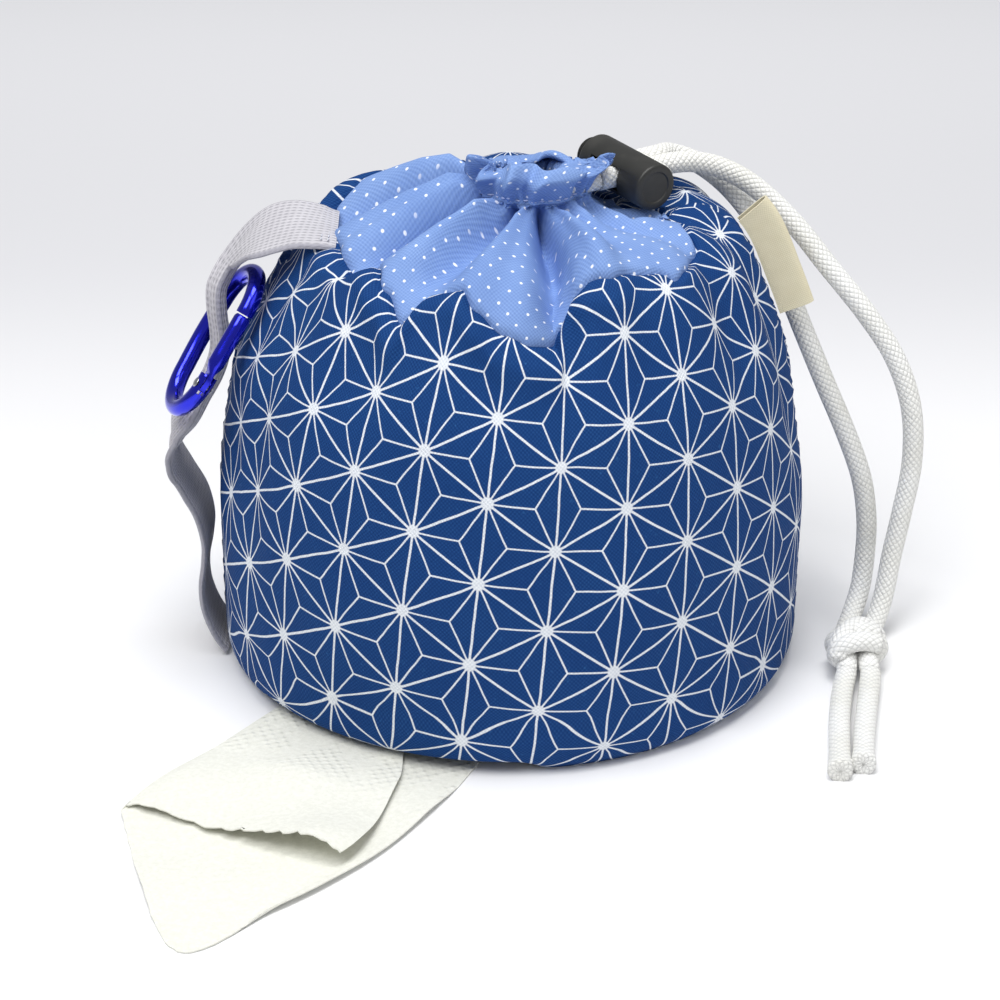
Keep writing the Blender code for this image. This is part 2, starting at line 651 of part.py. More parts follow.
def carabiner(frame_look, gate_look, steel):
    """Bent bar with a gate on one leg, hinged at its lower end on a rivet."""
    half = CARABINER_SPACING / 2
    hinge = CARABINER_LENGTH - half + 0.5 * MM
    nose = hinge - GATE_LENGTH - CLEAR
    path = [(nose, half)]
    for i in range(1, 9):
        turn = math.pi * i / 8
        path.append((half - half * math.sin(turn), half * math.cos(turn)))
    path.append((CARABINER_LENGTH / 2, -half - 0.8 * MM))
    for i in range(9):
        turn = math.pi * i / 8
        path.append((CARABINER_LENGTH - half + half * math.sin(turn), -half * math.cos(turn)))
    path.append((hinge - 1.2 * MM, half))
    places = [hook_point(down, across) for down, across in path]
    rows = []
    for i, place in enumerate(places):
        if 0 < i < len(places) - 1:
            run = (places[i + 1] - places[i - 1]).normalized()
        else:
            run = -HOOK_DOWN
        rows.append(round_row(place, run, BAR / 2))
    body = add("carabiner_body", loft("carabiner_body", rows), frame_look)
    pin = hook_point(hinge + 1.5 * MM, half)
    fork = frame_of(hook_point(hinge + 0.8 * MM, half), HOOK_DOWN, HOOK_ACROSS, HOOK_OUT)
    cut(body, block("fork_slot", (5.8 * MM, 2 * BAR, HOOK_FORK), fork))
    cut(body, rod("rivet_hole", RIVET / 2 + CLEAR, pin - HOOK_OUT * BAR, pin + HOOK_OUT * BAR, 12))
    rivet = rod("gate_rivet", RIVET / 2, pin - HOOK_OUT * BAR * 0.5, pin + HOOK_OUT * BAR * 0.5, 12)
    add("gate_rivet", rivet, steel)
    top = hook_point(hinge - GATE_LENGTH, half)
    foot = hook_point(hinge - 3.4 * MM, half)
    run = HOOK_DOWN
    gate_rows = [round_row(top, run, GATE_BAR * 0.42), round_row(top + run * 0.8 * MM, run, GATE_BAR / 2)]
    gate_rows += [round_row(foot - run * 1.0 * MM, run, GATE_BAR / 2), round_row(foot, run, GATE_BAR * 0.4)]
    tongue = []
    for down, wide in ((1.5, 1.5), (4.5, 1.5), (6.3, 0.8)):
        centre = foot + run * (down * MM)
        width = wide * MM
        thick = GATE_TONGUE / 2
        row = []
        for i in range(10):
            turn = 2 * math.pi * i / 10
            side = run.cross(HOOK_OUT).normalized()
            other = run.cross(side).normalized()
            across = max(-1, min(1, 1.6 * math.cos(turn))) * width
            out = max(-1, min(1, 1.6 * math.sin(turn))) * thick
            row.append(centre + side * across + other * out)
        tongue.append(row)
    gate = add("carabiner_gate", loft("carabiner_gate", gate_rows + tongue), gate_look)
    cut(gate, rod("gate_eye", RIVET / 2 + CLEAR, pin - HOOK_OUT * BAR, pin + HOOK_OUT * BAR, 12))


# Where the webbing runs through the carabiner: down along it, and out of its plane
STRAP_ASIDE = -2.7 * MM
THROUGH_HOOK = (
    (0, 5.3), (5, 5.3), (8, 4.6), (12, 2.0), (16, -1.2), (20, -3.6), (25, -4.7), (31, -4.8), (36, -5.0),
)


def strap_path():
    """Centre line of the webbing, from the shoulder down."""
    inside = []
    for down, out in THROUGH_HOOK:
        inside.append(hook_point(down * MM, STRAP_ASIDE, out * MM))
    start = ((19.8, -3.0, 11.4), (15.8, -3.0, 12.4), (9.8, -2.0, 12.5), (3.8, -0.6, 10.8), (-0.7, 0.6, 7.8))
    end = (
        (-7.0, -11.0, 0.6576), (-9.5, -9.0, 0.6087), (-9.5, -6.5, 0.5489), (-7.0, -5.0, 0.4783),
        (-4.1, -4.2, 0.4076), (-2.7, -4.0, 0.3315), (-3.1, -4.0, 0.2663), (-4.1, -4.0, 0.2011),
        (-3.9, -4.0, 0.1359), (-2.3, -4.0, 0.0761), (-0.4, -4.0, 0.0348), (1.1, -4.0, 0.0141),
    )
    fall = [Vector((x * MM - BODY_RADIUS, y * MM, share * SHOULDER_HEIGHT)) for x, y, share in end]
    return [HOOK_TOP + Vector(p) * MM for p in start] + inside + fall


def webbing_strap(look):
    """Webbing sewn to the side seam at the shoulder and at the foot, and bunched where it passes
    through the carabiner."""
    points = strap_path()
    count = len(points)
    columns = 9
    rows = []
    for i, place in enumerate(points):
        run = (points[min(i + 1, count - 1)] - points[max(i - 1, 0)]).normalized()
        pinch = smooth_step(i, 2.0, 5.0) * (1 - smooth_step(i, 12.0, 16.0))
        wide = Vector((0, -1, 0)).lerp(HOOK_ACROSS, pinch)
        wide = (wide - run * wide.dot(run)).normalized()
        face = run.cross(wide)
        width = STRAP_WIDTH + (PINCH_WIDTH - STRAP_WIDTH) * pinch
        upper, lower = [], []
        for j in range(columns):
            share = j / (columns - 1)
            across = wide * width * (share - 0.5)
            ripple = face * PINCH_RIPPLE * pinch * math.cos(4 * math.pi * share)
            upper.append(place + across + ripple + face * STRAP / 2)
            lower.append(place + across + ripple - face * STRAP / 2)
        rows.append(upper + lower[::-1])
    return add("webbing_strap", loft("webbing_strap", rows, strip=True), look)


def side_label(look):
    """Folded label, a thin loop sewn into the right side seam."""
    half = LABEL_GAP / 2
    bend = ((half, 0.0), (half, 0.5), (half * 0.8, 0.85), (0.0, 1.0))
    bend += tuple((-x, y) for x, y in bend[-2::-1])
    outer = [(x, CLEAR + y * LABEL_DEPTH) for x, y in bend]
    room = half - LABEL_CLOTH
    inner = [(max(-room, min(room, x * 0.7)), y - LABEL_CLOTH * min(1.0, y / half)) for x, y in outer]
    inner[0] = (room, CLEAR)
    inner[-1] = (-room, CLEAR)
    rows = []
    for i in range(6):
        place = LABEL_TOP - LABEL_RUN * i / 5
        foot = cloth(LABEL_SIDE, place)
        out = cloth_normal(LABEL_SIDE, place)
        rise = (cloth(LABEL_SIDE, place + 0.1) - cloth(LABEL_SIDE, place - 0.1)).normalized()
        wide = rise.cross(out).normalized()
        rows.append([foot + wide * x + out * y for x, y in outer + inner[::-1]])
    return add("side_label", loft("side_label", rows, strip=True), look)


# Routes of the two free cord ends, from the neck through the lock to the knot on the floor
NEAR_ROUTE = (
    (43.0, 13.0, 117.4), (50.0, 15.0, 115.0), (57.8, 15.0, 110.4), (67.0, 13.5, 102.0),
    (75.5, 11.0, 92.0), (84.5, 8.0, 81.5), (92.0, 6.0, 70.5), (96.5, 4.5, 58.0), (97.5, 4.0, 44.0),
    (95.8, 3.2, 31.0), (93.8, 2.0, 19.5), (92.0, -1.0, 10.0), (89.4, -5.5, 4.4), (86.2, -11.4, 3.0),
)
FAR_ROUTE = (
    (37.8, 19.5, 117.2), (45.5, 21.5, 113.6), (53.5, 20.0, 107.0), (60.8, 16.0, 97.6),
    (65.8, 12.5, 86.5), (70.4, 11.0, 75.5), (76.0, 10.0, 62.5), (81.5, 9.5, 50.0), (86.0, 9.0, 38.0),
    (88.0, 9.0, 27.0), (88.2, 8.5, 17.5), (87.0, 5.0, 9.0), (84.0, -2.0, 4.0), (80.8, -11.4, 3.0),
)
KNOT_CENTRE = Vector((83.4, -19.9, 6.2)) * MM
KNOT_WIDTH = 16.0 * MM
KNOT_HEIGHT = 11.6 * MM
TAILS = (
    ((80.2, -28.2, 3.3), (78.4, -36.0, 2.8), (76.6, -47.0, 2.7), (75.2, -59.0, 2.7), (74.0, -71.5, 2.7)),
    ((86.0, -28.2, 3.3), (84.7, -36.0, 2.8), (82.9, -46.0, 2.7), (81.1, -57.0, 2.7), (79.6, -68.5, 2.7)),
)


def free_cords(near_look, far_look):
    """Both ends leave the channel, run straight through the lock and hang to the floor."""
    near = NECK + LOCK_AXIS * LANE_FRONT
    far = NECK + LOCK_AXIS * LANE_BACK
    straight = (LOCK_OUT - LOCK_RADIUS, LOCK_OUT, LOCK_OUT + 6 * MM, LOCK_OUT + 12 * MM)
    points = [near + CORDS * NEAR_START] + [near + CORDS * run for run in straight]
    points += [Vector(p) * MM for p in NEAR_ROUTE]
    tube("drawcord_near", sampled(points, 46), CORD, near_look)
    points = [far + CORDS * (BACK_TURN + 2 * CLEAR)]
    points += [far + CORDS * run for run in straight[1:]] + [Vector(p) * MM for p in FAR_ROUTE]
    tube("drawcord_far", sampled(points, 46), CORD, far_look)


def cord_knot(look):
    """Overhand knot of both cords, as one lumpy solid with two wraps."""
    rows = []
    for i in range(1, 12):
        polar = math.pi * i / 12
        row = []
        for j in range(20):
            turn = 2 * math.pi * j / 20
            wrap = 1 + 0.1 * math.cos(2 * turn + 4 * polar)
            x = KNOT_WIDTH / 2 * math.sin(polar) * math.cos(turn) * wrap
            z = KNOT_HEIGHT / 2 * math.sin(polar) * math.sin(turn) * min(wrap, 1.0)
            row.append(KNOT_CENTRE + Vector((x, KNOT_WIDTH / 2 * math.cos(polar), z)))
        rows.append(row)
    return add("cord_knot", loft("cord_knot", rows), look, sharp=70)


def cord_tails(left_look, right_look):
    tube("cord_tail_left", sampled([Vector(p) * MM for p in TAILS[0]], 12), CORD, left_look)
    tube("cord_tail_right", sampled([Vector(p) * MM for p in TAILS[1]], 12), CORD, right_look)


def build():
    for old in list(bpy.data.objects):
        bpy.data.objects.remove(old)
    wall_panel("front_panel", -180.0, material("patterned_cotton", NAVY, 0.85))
    wall_panel("back_panel", 0.0, material("back_cotton", NAVY, 0.85))
    collar(material("plain_cotton", (0.195, 0.328, 0.73), 0.85))
    base_panel(material("base_cotton", NAVY, 0.9))
    tissue_roll(material("tissue", TISSUE, 0.9))
    paper_tail(material("tissue_tail", TISSUE, 0.9))
    channel_cord(material("channel_braid", COTTON, 0.85))
    cord_lock(
        material("lock_plastic", (0.022, 0.022, 0.02), 0.5),
        material("plunger_plastic", (0.012, 0.012, 0.012), 0.4),
        material("spring_steel", STEEL, 0.3, 1.0),
    )
    carabiner(
        material("anodised_aluminium", (0.02, 0.03, 0.65), 0.22, 1.0),
        material("gate_aluminium", (0.02, 0.03, 0.6), 0.25, 1.0),
        material("rivet_steel", STEEL, 0.35, 1.0),
    )
    webbing_strap(material("webbing", (0.6, 0.6, 0.6), 0.75))
    side_label(material("label_tape", (0.75, 0.69, 0.5), 0.8))
    free_cords(material("near_braid", COTTON, 0.85), material("far_braid", COTTON, 0.85))
    cord_knot(material("knot_braid", COTTON, 0.85))
    cord_tails(material("left_tail_braid", COTTON, 0.85), material("right_tail_braid", COTTON, 0.85))


build()
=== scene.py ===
"""Dressed model of the drawstring pouch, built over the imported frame.

Lengths are in millimetres up to the calls that make meshes. A place on the cloth is an angle
round the pouch in degrees and a row of PROFILE, from the foot's edge (0) up to the neck."""

import math
from contextlib import contextmanager

import bmesh
import bpy
import numpy as np
from mathutils import Matrix, Vector, kdtree


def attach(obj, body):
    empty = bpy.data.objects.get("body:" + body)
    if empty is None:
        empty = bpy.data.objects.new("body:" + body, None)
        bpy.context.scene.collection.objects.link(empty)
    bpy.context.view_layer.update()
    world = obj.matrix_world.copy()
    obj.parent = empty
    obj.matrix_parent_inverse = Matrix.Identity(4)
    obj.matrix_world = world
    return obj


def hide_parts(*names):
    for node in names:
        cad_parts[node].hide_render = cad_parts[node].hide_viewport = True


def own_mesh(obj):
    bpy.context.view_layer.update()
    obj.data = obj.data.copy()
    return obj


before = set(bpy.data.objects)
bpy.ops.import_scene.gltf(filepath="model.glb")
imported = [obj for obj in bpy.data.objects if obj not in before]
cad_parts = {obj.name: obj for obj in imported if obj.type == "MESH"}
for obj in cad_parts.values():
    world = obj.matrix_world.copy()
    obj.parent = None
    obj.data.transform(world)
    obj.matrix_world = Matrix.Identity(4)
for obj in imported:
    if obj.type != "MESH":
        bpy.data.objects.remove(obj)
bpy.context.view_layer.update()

MM = 0.001

# Sizes that the source of the part uses
BODY_RADIUS = 70.5
FOOT_TUCK = 4.3
FOOT_RISE = 14.0
SHOULDER_RADIUS = 59.4
SHOULDER_HEIGHT = 92.0
CROWN_RADIUS = 43.0
CROWN_HEIGHT = 111.0
LEFT_DROP = 6.0
NECK_X = 5.0
NECK_Y = -1.0
NECK_RADIUS = 13.5
CHANNEL_HEIGHT = 119.0
FOLD_HEIGHT = 3.2
ARCH_HEIGHT = 3.0
PAPER_HEADING = -116.5
CORD = 5.0
RING_CORD = 4.4
CORD_BEND = 4.2
CLEAR = 0.3
LOCK_RADIUS = 5.5
LOCK_BORE = 4.2
LOCK_END = 1.5
SPRING_SPACE = 5.0
PLUNGER_END = 1.2
PLUNGER_GUIDE = 1.5
PLUNGER_TRAVEL = 2.5
BUTTON = 3.0
LOCK_HEADING = 35.0
LOCK_TILT = -0.06
LOCK_STROKE = 7.0
PANEL_HEIGHT = 4.8
SLOT_LENGTH = 50.0
SLOT_WIDTH = 16.0
BAR = 4.2
CARABINER_SPACING = 19.0
CARABINER_LENGTH = 36.0
GATE_LENGTH = 17.0
GATE_BAR = 4.0
HOOK_FORK = 1.9
GATE_TONGUE = 1.3
RIVET = 1.6
STRAP_WIDTH = 20.0
STRAP = 1.4
PINCH_WIDTH = 9.0
PINCH_RIPPLE = 1.0

# Thicknesses of the cloths and of the paper
WALL_CLOTH = 1.3
COLLAR_CLOTH = 0.7
BASE_CLOTH = 1.2
PAPER_SHEET = 0.3


def smooth(value, low, high):
    share = np.clip((np.asarray(value, float) - low) / (high - low), 0, 1)
    return share * share * (3 - 2 * share)


def turn_between(a, b):
    return (np.asarray(a, float) - b + 180) % 360 - 180


def through(values, places):
    """Catmull-Rom through rows of values, for an array of places."""
    last = len(values) - 1
    index = np.minimum(places.astype(int), last - 1)
    t = (places - index).reshape(places.shape + (1,) * (values.ndim - 1))
    p, q, r, s = (values[np.clip(index + k, 0, last)] for k in (-1, 0, 1, 2))
    bend = (2 * p - 5 * q + 4 * r - s) * t * t + (3 * q - p - 3 * r + s) * t ** 3
    return 0.5 * (2 * q + (r - p) * t + bend)


# Rows of the cloth's profile: radius, height, share of the neck's shift, of the drop on the left
# and of the folds' height
SLOPE = CROWN_HEIGHT - SHOULDER_HEIGHT
PROFILE = np.array((
    (BODY_RADIUS - FOOT_TUCK, 0.0, 0.0, 0.0, 0.0),
    (BODY_RADIUS - FOOT_TUCK * 0.2, FOOT_RISE * 0.3, 0.0, 0.0, 0.0),
    (BODY_RADIUS, FOOT_RISE, 0.0, 0.0, 0.0),
    (BODY_RADIUS, SHOULDER_HEIGHT * 0.43, 0.0, 0.0, 0.0),
    (BODY_RADIUS * 0.8 + SHOULDER_RADIUS * 0.2, SHOULDER_HEIGHT * 0.65, 0.0, 0.0, 0.0),
    (BODY_RADIUS * 0.52 + SHOULDER_RADIUS * 0.48, SHOULDER_HEIGHT * 0.84, 0.0, 0.1, 0.0),
    (SHOULDER_RADIUS, SHOULDER_HEIGHT, 0.1, 0.5, 0.1),
    (SHOULDER_RADIUS * 0.58 + CROWN_RADIUS * 0.42, SHOULDER_HEIGHT + SLOPE * 0.68, 0.25, 0.8, 0.5),
    (CROWN_RADIUS, CROWN_HEIGHT, 0.45, 1.0, 1.0),
    (CROWN_RADIUS * 0.65 + NECK_RADIUS * 0.35, CROWN_HEIGHT + 1.4, 0.7, 0.6, 1.0),
    (CROWN_RADIUS * 0.3 + NECK_RADIUS * 0.7, CROWN_HEIGHT + 1.6, 0.9, 0.1, 0.7),
    (NECK_RADIUS + 1.8, CHANNEL_HEIGHT - 4.6, 1.0, 0.0, 0.2),
    (NECK_RADIUS + 0.2, CHANNEL_HEIGHT - 2.6, 1.0, 0.0, 0.0),
))
GATHER = len(PROFILE) - 1
SHOULDER = 6
STEPS = np.hypot(np.diff(PROFILE[:, 0]), np.diff(PROFILE[:, 1]))
RUN = np.concatenate(([0.0], np.cumsum(STEPS)))
# Folds of the collar: angle, share of the height and width in degrees
FOLDS = (
    (-150, 0.6, 9), (-128, 1.0, 11), (-104, 0.9, 8), (-62, 0.9, 12), (5, 0.3, 10), (62, 0.8, 11),
    (88, 0.7, 10), (113, 0.9, 11), (140, 1.0, 11),
)
# The line where the collar is sewn to the wall: angle and place
SEAM = np.array((
    (-180, 7.8), (-166, 7.9), (-150, 7.75), (-145, 7.6), (-137, 7.85), (-126, 7.25), (-118, 6.75),
    (-113, 7.5), (-106, 7.45), (-100, 7.05), (-93, 6.7), (-86, 6.55), (-80.5, 6.55), (-75.5, 7.55),
    (-72, 7.6), (-65, 7.45), (-58, 7.6), (-50, 7.55), (-46, 7.25), (-40, 7.4), (-30, 7.65),
    (-20, 8.4), (-10, 9.0), (12, 10.2), (40, 10.6), (85, 10.6), (130, 10.6), (150, 10.0),
    (162, 8.2), (170, 7.8), (180, 7.8),
))
SEAM_PULL = 1.1
SEAM_WIDTH = 0.07
COLUMNS = 360
ANGLES = np.arange(COLUMNS) * 360.0 / COLUMNS - 180

# The cord lock stands beside the neck: CORDS points out along the two cords, LOCK_AXIS along it
heading = math.radians(LOCK_HEADING)
CORDS = Vector((math.cos(heading), math.sin(heading), 0))
LOCK_AXIS = Vector((math.sin(heading), -math.cos(heading), LOCK_TILT)).normalized()
LOCK_DOWN = CORDS.cross(LOCK_AXIS)
NECK = Vector((NECK_X, NECK_Y, CHANNEL_HEIGHT))
RING_RADIUS = NECK_RADIUS - 1.0 - CLEAR - RING_CORD / 2
LANES = 2 * CORD + 3 * CLEAR
HOLE_HEIGHT = CORD + 2 * CLEAR
HOLE_START = LOCK_END + SPRING_SPACE + PLUNGER_END
BARREL_LENGTH = HOLE_START + LANES + PLUNGER_TRAVEL + PLUNGER_GUIDE
LANE_FRONT = RING_RADIUS
LANE_BACK = RING_RADIUS - CORD - CLEAR
LANE_MIDDLE = (LANE_FRONT + LANE_BACK) / 2
LOCK_OUT = NECK_RADIUS + 0.55 + CLEAR + LOCK_RADIUS
LOCK_HOLE = NECK + CORDS * LOCK_OUT + LOCK_AXIS * LANE_MIDDLE
LOCK_FRONT = LOCK_HOLE + LOCK_AXIS * (HOLE_START + LANES / 2)
FRONT_SIDE = HOLE_START + LANES / 2 + LANE_MIDDLE
BACK_SIDE = FRONT_SIDE - BARREL_LENGTH - BUTTON
NEAR_START = NECK_RADIUS * 0.85
BACK_TURN = math.sqrt(RING_RADIUS ** 2 - (LANE_BACK - CORD_BEND) ** 2) + CORD_BEND
LOCK_SEAT = LOCK_FRONT.z - LOCK_RADIUS - 3 * CLEAR


def seam_place(degrees):
    degrees = turn_between(degrees, 0)
    found = np.full(degrees.shape, SEAM[0, 1])
    for (a, low), (b, high) in zip(SEAM, SEAM[1:]):
        inside = (degrees >= a) & (degrees <= b)
        found = np.where(inside, low + (high - low) * smooth(degrees, a, b), found)
    return found


def from_neck(points):
    """How far points are from the neck's middle along the cords and along the lock."""
    x, y = points[..., 0] - NECK_X, points[..., 1] - NECK_Y
    return x * CORDS.x + y * CORDS.y, x * LOCK_AXIS.x + y * LOCK_AXIS.y


def press_under_lock(points, place):
    """Keep the cloth above the shoulder below the space that the lock slides through."""
    out, side = from_neck(points)
    past = np.maximum.reduce([
        NECK_RADIUS - out, out - LOCK_OUT - LOCK_RADIUS - LOCK_STROKE, side - FRONT_SIDE,
        BACK_SIDE - side, np.zeros_like(out),
    ])
    pressed = np.minimum(points[..., 2], LOCK_SEAT + 0.9 * past)
    points[..., 2] = np.where(place > SHOULDER, pressed, points[..., 2])
    return points


def cloth(degrees, place):
    """Points of the cloth's outer face for arrays of angle and place."""
    rows = through(PROFILE, np.clip(place, 0, GATHER))
    radius, height, shift, drop, fold = np.moveaxis(rows, -1, 0)
    turn = np.radians(degrees)
    left = np.maximum(0, -np.cos(turn)) ** 2
    height = height - LEFT_DROP * drop * left
    for middle, share, width in FOLDS:
        away = turn_between(degrees, middle) / width
        height = height + FOLD_HEIGHT * fold * share * np.exp(-away * away)
    arch = 1 - smooth(np.abs(turn_between(degrees, PAPER_HEADING)), 27, 34)
    height = height + ARCH_HEIGHT * arch * np.maximum(0, 1 - place)
    x, y = NECK_X * shift + radius * np.cos(turn), NECK_Y * shift + radius * np.sin(turn)
    return press_under_lock(np.stack((x, y, height), axis=-1), place)


def normals(points, around=True):
    """Outward normals of a grid of points: rows go up, columns anticlockwise."""
    if around:
        side = np.roll(points, -1, axis=1) - np.roll(points, 1, axis=1)
    else:
        side = np.gradient(points, axis=1)
    found = np.cross(side, np.gradient(points, axis=0))
    return found / np.maximum(np.linalg.norm(found, axis=-1, keepdims=True), 1e-9)


def waves(angle, height, scale, seed, count=5):
    """A soft random relief that closes round the pouch."""
    pick = np.random.default_rng(seed)
    total = np.zeros(np.broadcast(angle, height).shape)
    for _ in range(count):
        turns = pick.integers(int(scale * 0.6), int(scale * 1.5) + 1)
        run = pick.uniform(-0.16, 0.16)
        total = total + np.sin(turns * np.radians(angle) + run * height + pick.uniform(0, 6.3))
    return total / count


# Creases of the collar: angle at the neck, angle at the far end, place of the far end and of the
# near end, depth and half width in degrees
CREASES = (
    (-84, -80, 6.3, 12.0, 7.0, 4.4), (-58, -65, 9.0, 12.0, 2.4, 5.0),
    (-36, -42, 8.6, 12.0, 1.6, 6.0), (-110, -118, 6.9, 11.8, 5.4, 6.0),
    (-145, -144, 7.3, 12.0, 5.6, 6.4), (180, 178, 7.6, 12.0, 5.0, 5.6),
    (100, 100, 7.6, 12.0, 2.0, 6.0), (126, 127, 7.6, 12.0, 2.2, 6.0), (75, 75, 7.8, 12.0, 1.8, 6.0),
    (-80, -76, 3.6, 7.6, 1.5, 3.2), (-72, -68, 5.2, 9.6, 1.3, 3.0), (-94, -98, 4.6, 8.4, 0.9, 4.0),
    (-152, -150, 2.2, 7.6, 1.5, 4.5), (-163, -163, 2.6, 7.4, 1.1, 4.0),
    (-133, -130, 4.0, 7.6, 0.9, 4.0), (-32, -33, 4.2, 8.4, 1.0, 4.5), (-12, -12, 3.4, 8.4, 1.2, 4.0),
    (22, 20, 4.6, 9.0, 1.0, 4.5),
)
# Ridges: angle at the neck and at the far end, half width in degrees, and height at each place
RIDGES = (
    (-164, -166, 12.0, ((7.0, 0.0), (8.2, 4.6), (9.4, 8.2), (10.3, 9.4), (11.0, 6.4), (11.8, 0.6))),
    (166, 163, 13.0, (
        (6.2, 0.0), (7.4, 4.0), (8.4, 7.2), (9.6, 10.0), (10.3, 10.2), (11.0, 6.0), (11.8, 0.6),
    )),
    (-128, -128, 9.0, ((7.6, 0.0), (9.0, 3.4), (10.2, 5.6), (11.1, 2.8), (11.9, 0.0))),
    (-96, -98, 6.5, ((7.2, 0.0), (8.8, 2.8), (10.3, 4.2), (11.2, 2.0), (11.9, 0.0))),
    (-70, -66, 6.5, ((7.2, 0.0), (8.4, 2.6), (10.2, 4.0), (11.2, 2.0), (11.9, 0.0))),
    (-45, -50, 8.0, ((8.2, 0.0), (9.6, 1.2), (10.6, 1.6), (11.9, 0.0))),
    (138, 138, 9.0, ((8.4, 0.0), (9.6, 3.0), (10.4, 3.6), (11.2, 1.8), (11.9, 0.0))),
    (110, 110, 8.0, ((8.4, 0.0), (9.8, 1.6), (10.6, 2.0), (11.9, 0.0))),
)


def sculpted(degrees, place):
    """The cloth with its creases, gathers and soft relief."""
    points = cloth(degrees, place)
    out = normals(points)
    depth = np.zeros(place.shape)
    for near, far, low, high, deep, width in CREASES:
        share = np.clip((place - low) / (high - low), 0, 1)
        wide = width * (1.25 - 0.35 * share)
        strength = smooth(place, low - 0.5, low + 1.4) * (1 - 0.6 * smooth(place, 11.2, 12.0))
        away = turn_between(degrees, far + (near - far) * share) / wide
        depth -= deep * strength * np.exp(-np.abs(away) ** 1.6)
    lift = np.zeros(place.shape)
    for near, far, width, heights in RIDGES:
        share = np.clip((place - 7) / 5, 0, 1)
        away = turn_between(degrees, far + (near - far) * share) / width
        lift += np.interp(place, *zip(*heights)) * np.exp(-np.abs(away) ** 2.4)
    gather = smooth(place, 9.4, 11.6)
    warped = degrees + 6 * np.sin(np.radians(3 * degrees + 40))
    warped = warped + 4 * np.sin(np.radians(5 * degrees + 160))
    pleats = np.cos(np.radians(19 * warped)) * (1 - 0.4 * smooth(place, 11.6, 12))
    depth += 0.8 * gather * pleats
    shoulder = smooth(place, 4.6, 6.6) * (1 - gather)
    depth += 1.3 * shoulder * waves(degrees, RUN[SHOULDER] * np.ones_like(place), 17, 3)
    swell = waves(degrees, np.interp(place, range(GATHER + 1), RUN), 9, 8)
    depth += smooth(place, 0.6, 2.0) * (0.6 * swell - 0.5)
    points = points + out * depth[..., None]
    behind = smooth(np.sin(np.radians(degrees)), 0.2, 0.85) * smooth(turn_between(degrees, 40), 0, 35)
    lift -= 4.6 * behind * smooth(place, 6.6, 8.4) * (1 - smooth(place, 10.4, 11.6))
    points[..., 2] += lift
    return press_under_lock(points, place)


def linked(name, mesh):
    piece = bpy.data.objects.new(name, mesh)
    bpy.context.scene.collection.objects.link(piece)
    return piece


def wrapped(grid):
    """A grid with its first column again at its end."""
    return np.concatenate((grid, grid[:, :1]), axis=1)


def quads(grid):
    """The four corners of each cell of a grid."""
    return np.stack((grid[:-1, :-1], grid[:-1, 1:], grid[1:, 1:], grid[1:, :-1]), axis=2)


def grid_piece(name, points, uv, around=True, ends=False):
    """A sheet over a grid of points. uv has one more column where the grid closes."""
    rows, columns = points.shape[:2]
    at = np.arange(rows * columns).reshape(rows, columns)
    uv = np.asarray(uv, float)
    faces = quads(wrapped(at) if around else at).reshape(-1, 4).tolist()
    coords = quads(uv).reshape(-1, 2)
    if ends:
        faces += [at[0, ::-1].tolist(), at[-1].tolist()]
        coords = np.concatenate((coords, uv[0, :columns][::-1], uv[-1, :columns]))
    mesh = bpy.data.meshes.new(name)
    mesh.from_pydata((points.reshape(-1, 3) * MM).tolist(), [], faces)
    mesh.uv_layers.new(name="cloth").data.foreach_set("uv", coords.reshape(-1))
    mesh.shade_smooth()
    return linked(name, mesh)


def transported(points):
    """Unit tangents with two normals carried along without twist."""
    count = len(points)
    runs = []
    for i in range(count):
        runs.append((points[min(i + 1, count - 1)] - points[max(i - 1, 0)]).normalized())
    side = runs[0].orthogonal().normalized()
    frames = []
    for run in runs:
        side = (side - run * side.dot(run)).normalized()
        frames.append((run, side, run.cross(side)))
    return frames


def circle(sides):
    return np.linspace(0, 2 * math.pi, sides, endpoint=False)


def runs_along(points):
    """The way along a line of points up to each of them."""
    return np.cumsum([0.0] + [(b - a).length for a, b in zip(points, points[1:])])


def tube_piece(name, points, radius, look, sides=24, cap=0.35):
    """A round tube with softly rounded ends, and its length and turn as its UV map."""
    frames = transported(points)
    radii = np.broadcast_to(radius, len(points))
    runs = runs_along(points)
    rings = [(points[0], 0, radii[0] * share, -radii[0] * (1 - share)) for share in (0.15, 0.7)]
    rings += [(spot, i, radii[i], runs[i]) for i, spot in enumerate(points)]
    for share in (0.7, 0.15):
        spot = points[-1] + frames[-1][0] * cap * (1 - share)
        rings.append((spot, -1, radii[-1] * share, runs[-1] + radii[-1] * (1 - share)))
    grid, uv = [], []
    for spot, i, wide, mark in rings:
        side, up = frames[i][1:]
        grid.append([tuple(spot + (side * math.cos(t) + up * math.sin(t)) * wide) for t in circle(sides)])
        uv.append([(mark, j / sides) for j in range(sides + 1)])
    piece = grid_piece(name, np.array(grid), uv, ends=True)
    piece.data.materials.append(look)
    return piece


def sampled(points, count):
    """Points evenly spaced along a smooth curve through the given ones."""
    fine = through(np.array([tuple(p) for p in points]), np.arange(401) * (len(points) - 1) / 400)
    run = np.concatenate(([0], np.cumsum(np.linalg.norm(np.diff(fine, axis=0), axis=1))))
    want = np.linspace(0, run[-1], count)
    return [Vector([float(np.interp(w, run, fine[:, k])) for k in range(3)]) for w in want]


def bridge(bm, rings):
    for low, high in zip(rings, rings[1:]):
        for i in range(len(low)):
            j = (i + 1) % len(low)
            bm.faces.new((low[i], low[j], high[j], high[i]))


def closed(name, bm, look):
    bm.normal_update()
    bmesh.ops.recalc_face_normals(bm, faces=bm.faces)
    mesh = bpy.data.meshes.new(name)
    bm.to_mesh(mesh)
    bm.free()
    mesh.materials.append(look)
    mesh.shade_smooth()
    return linked(name, mesh)


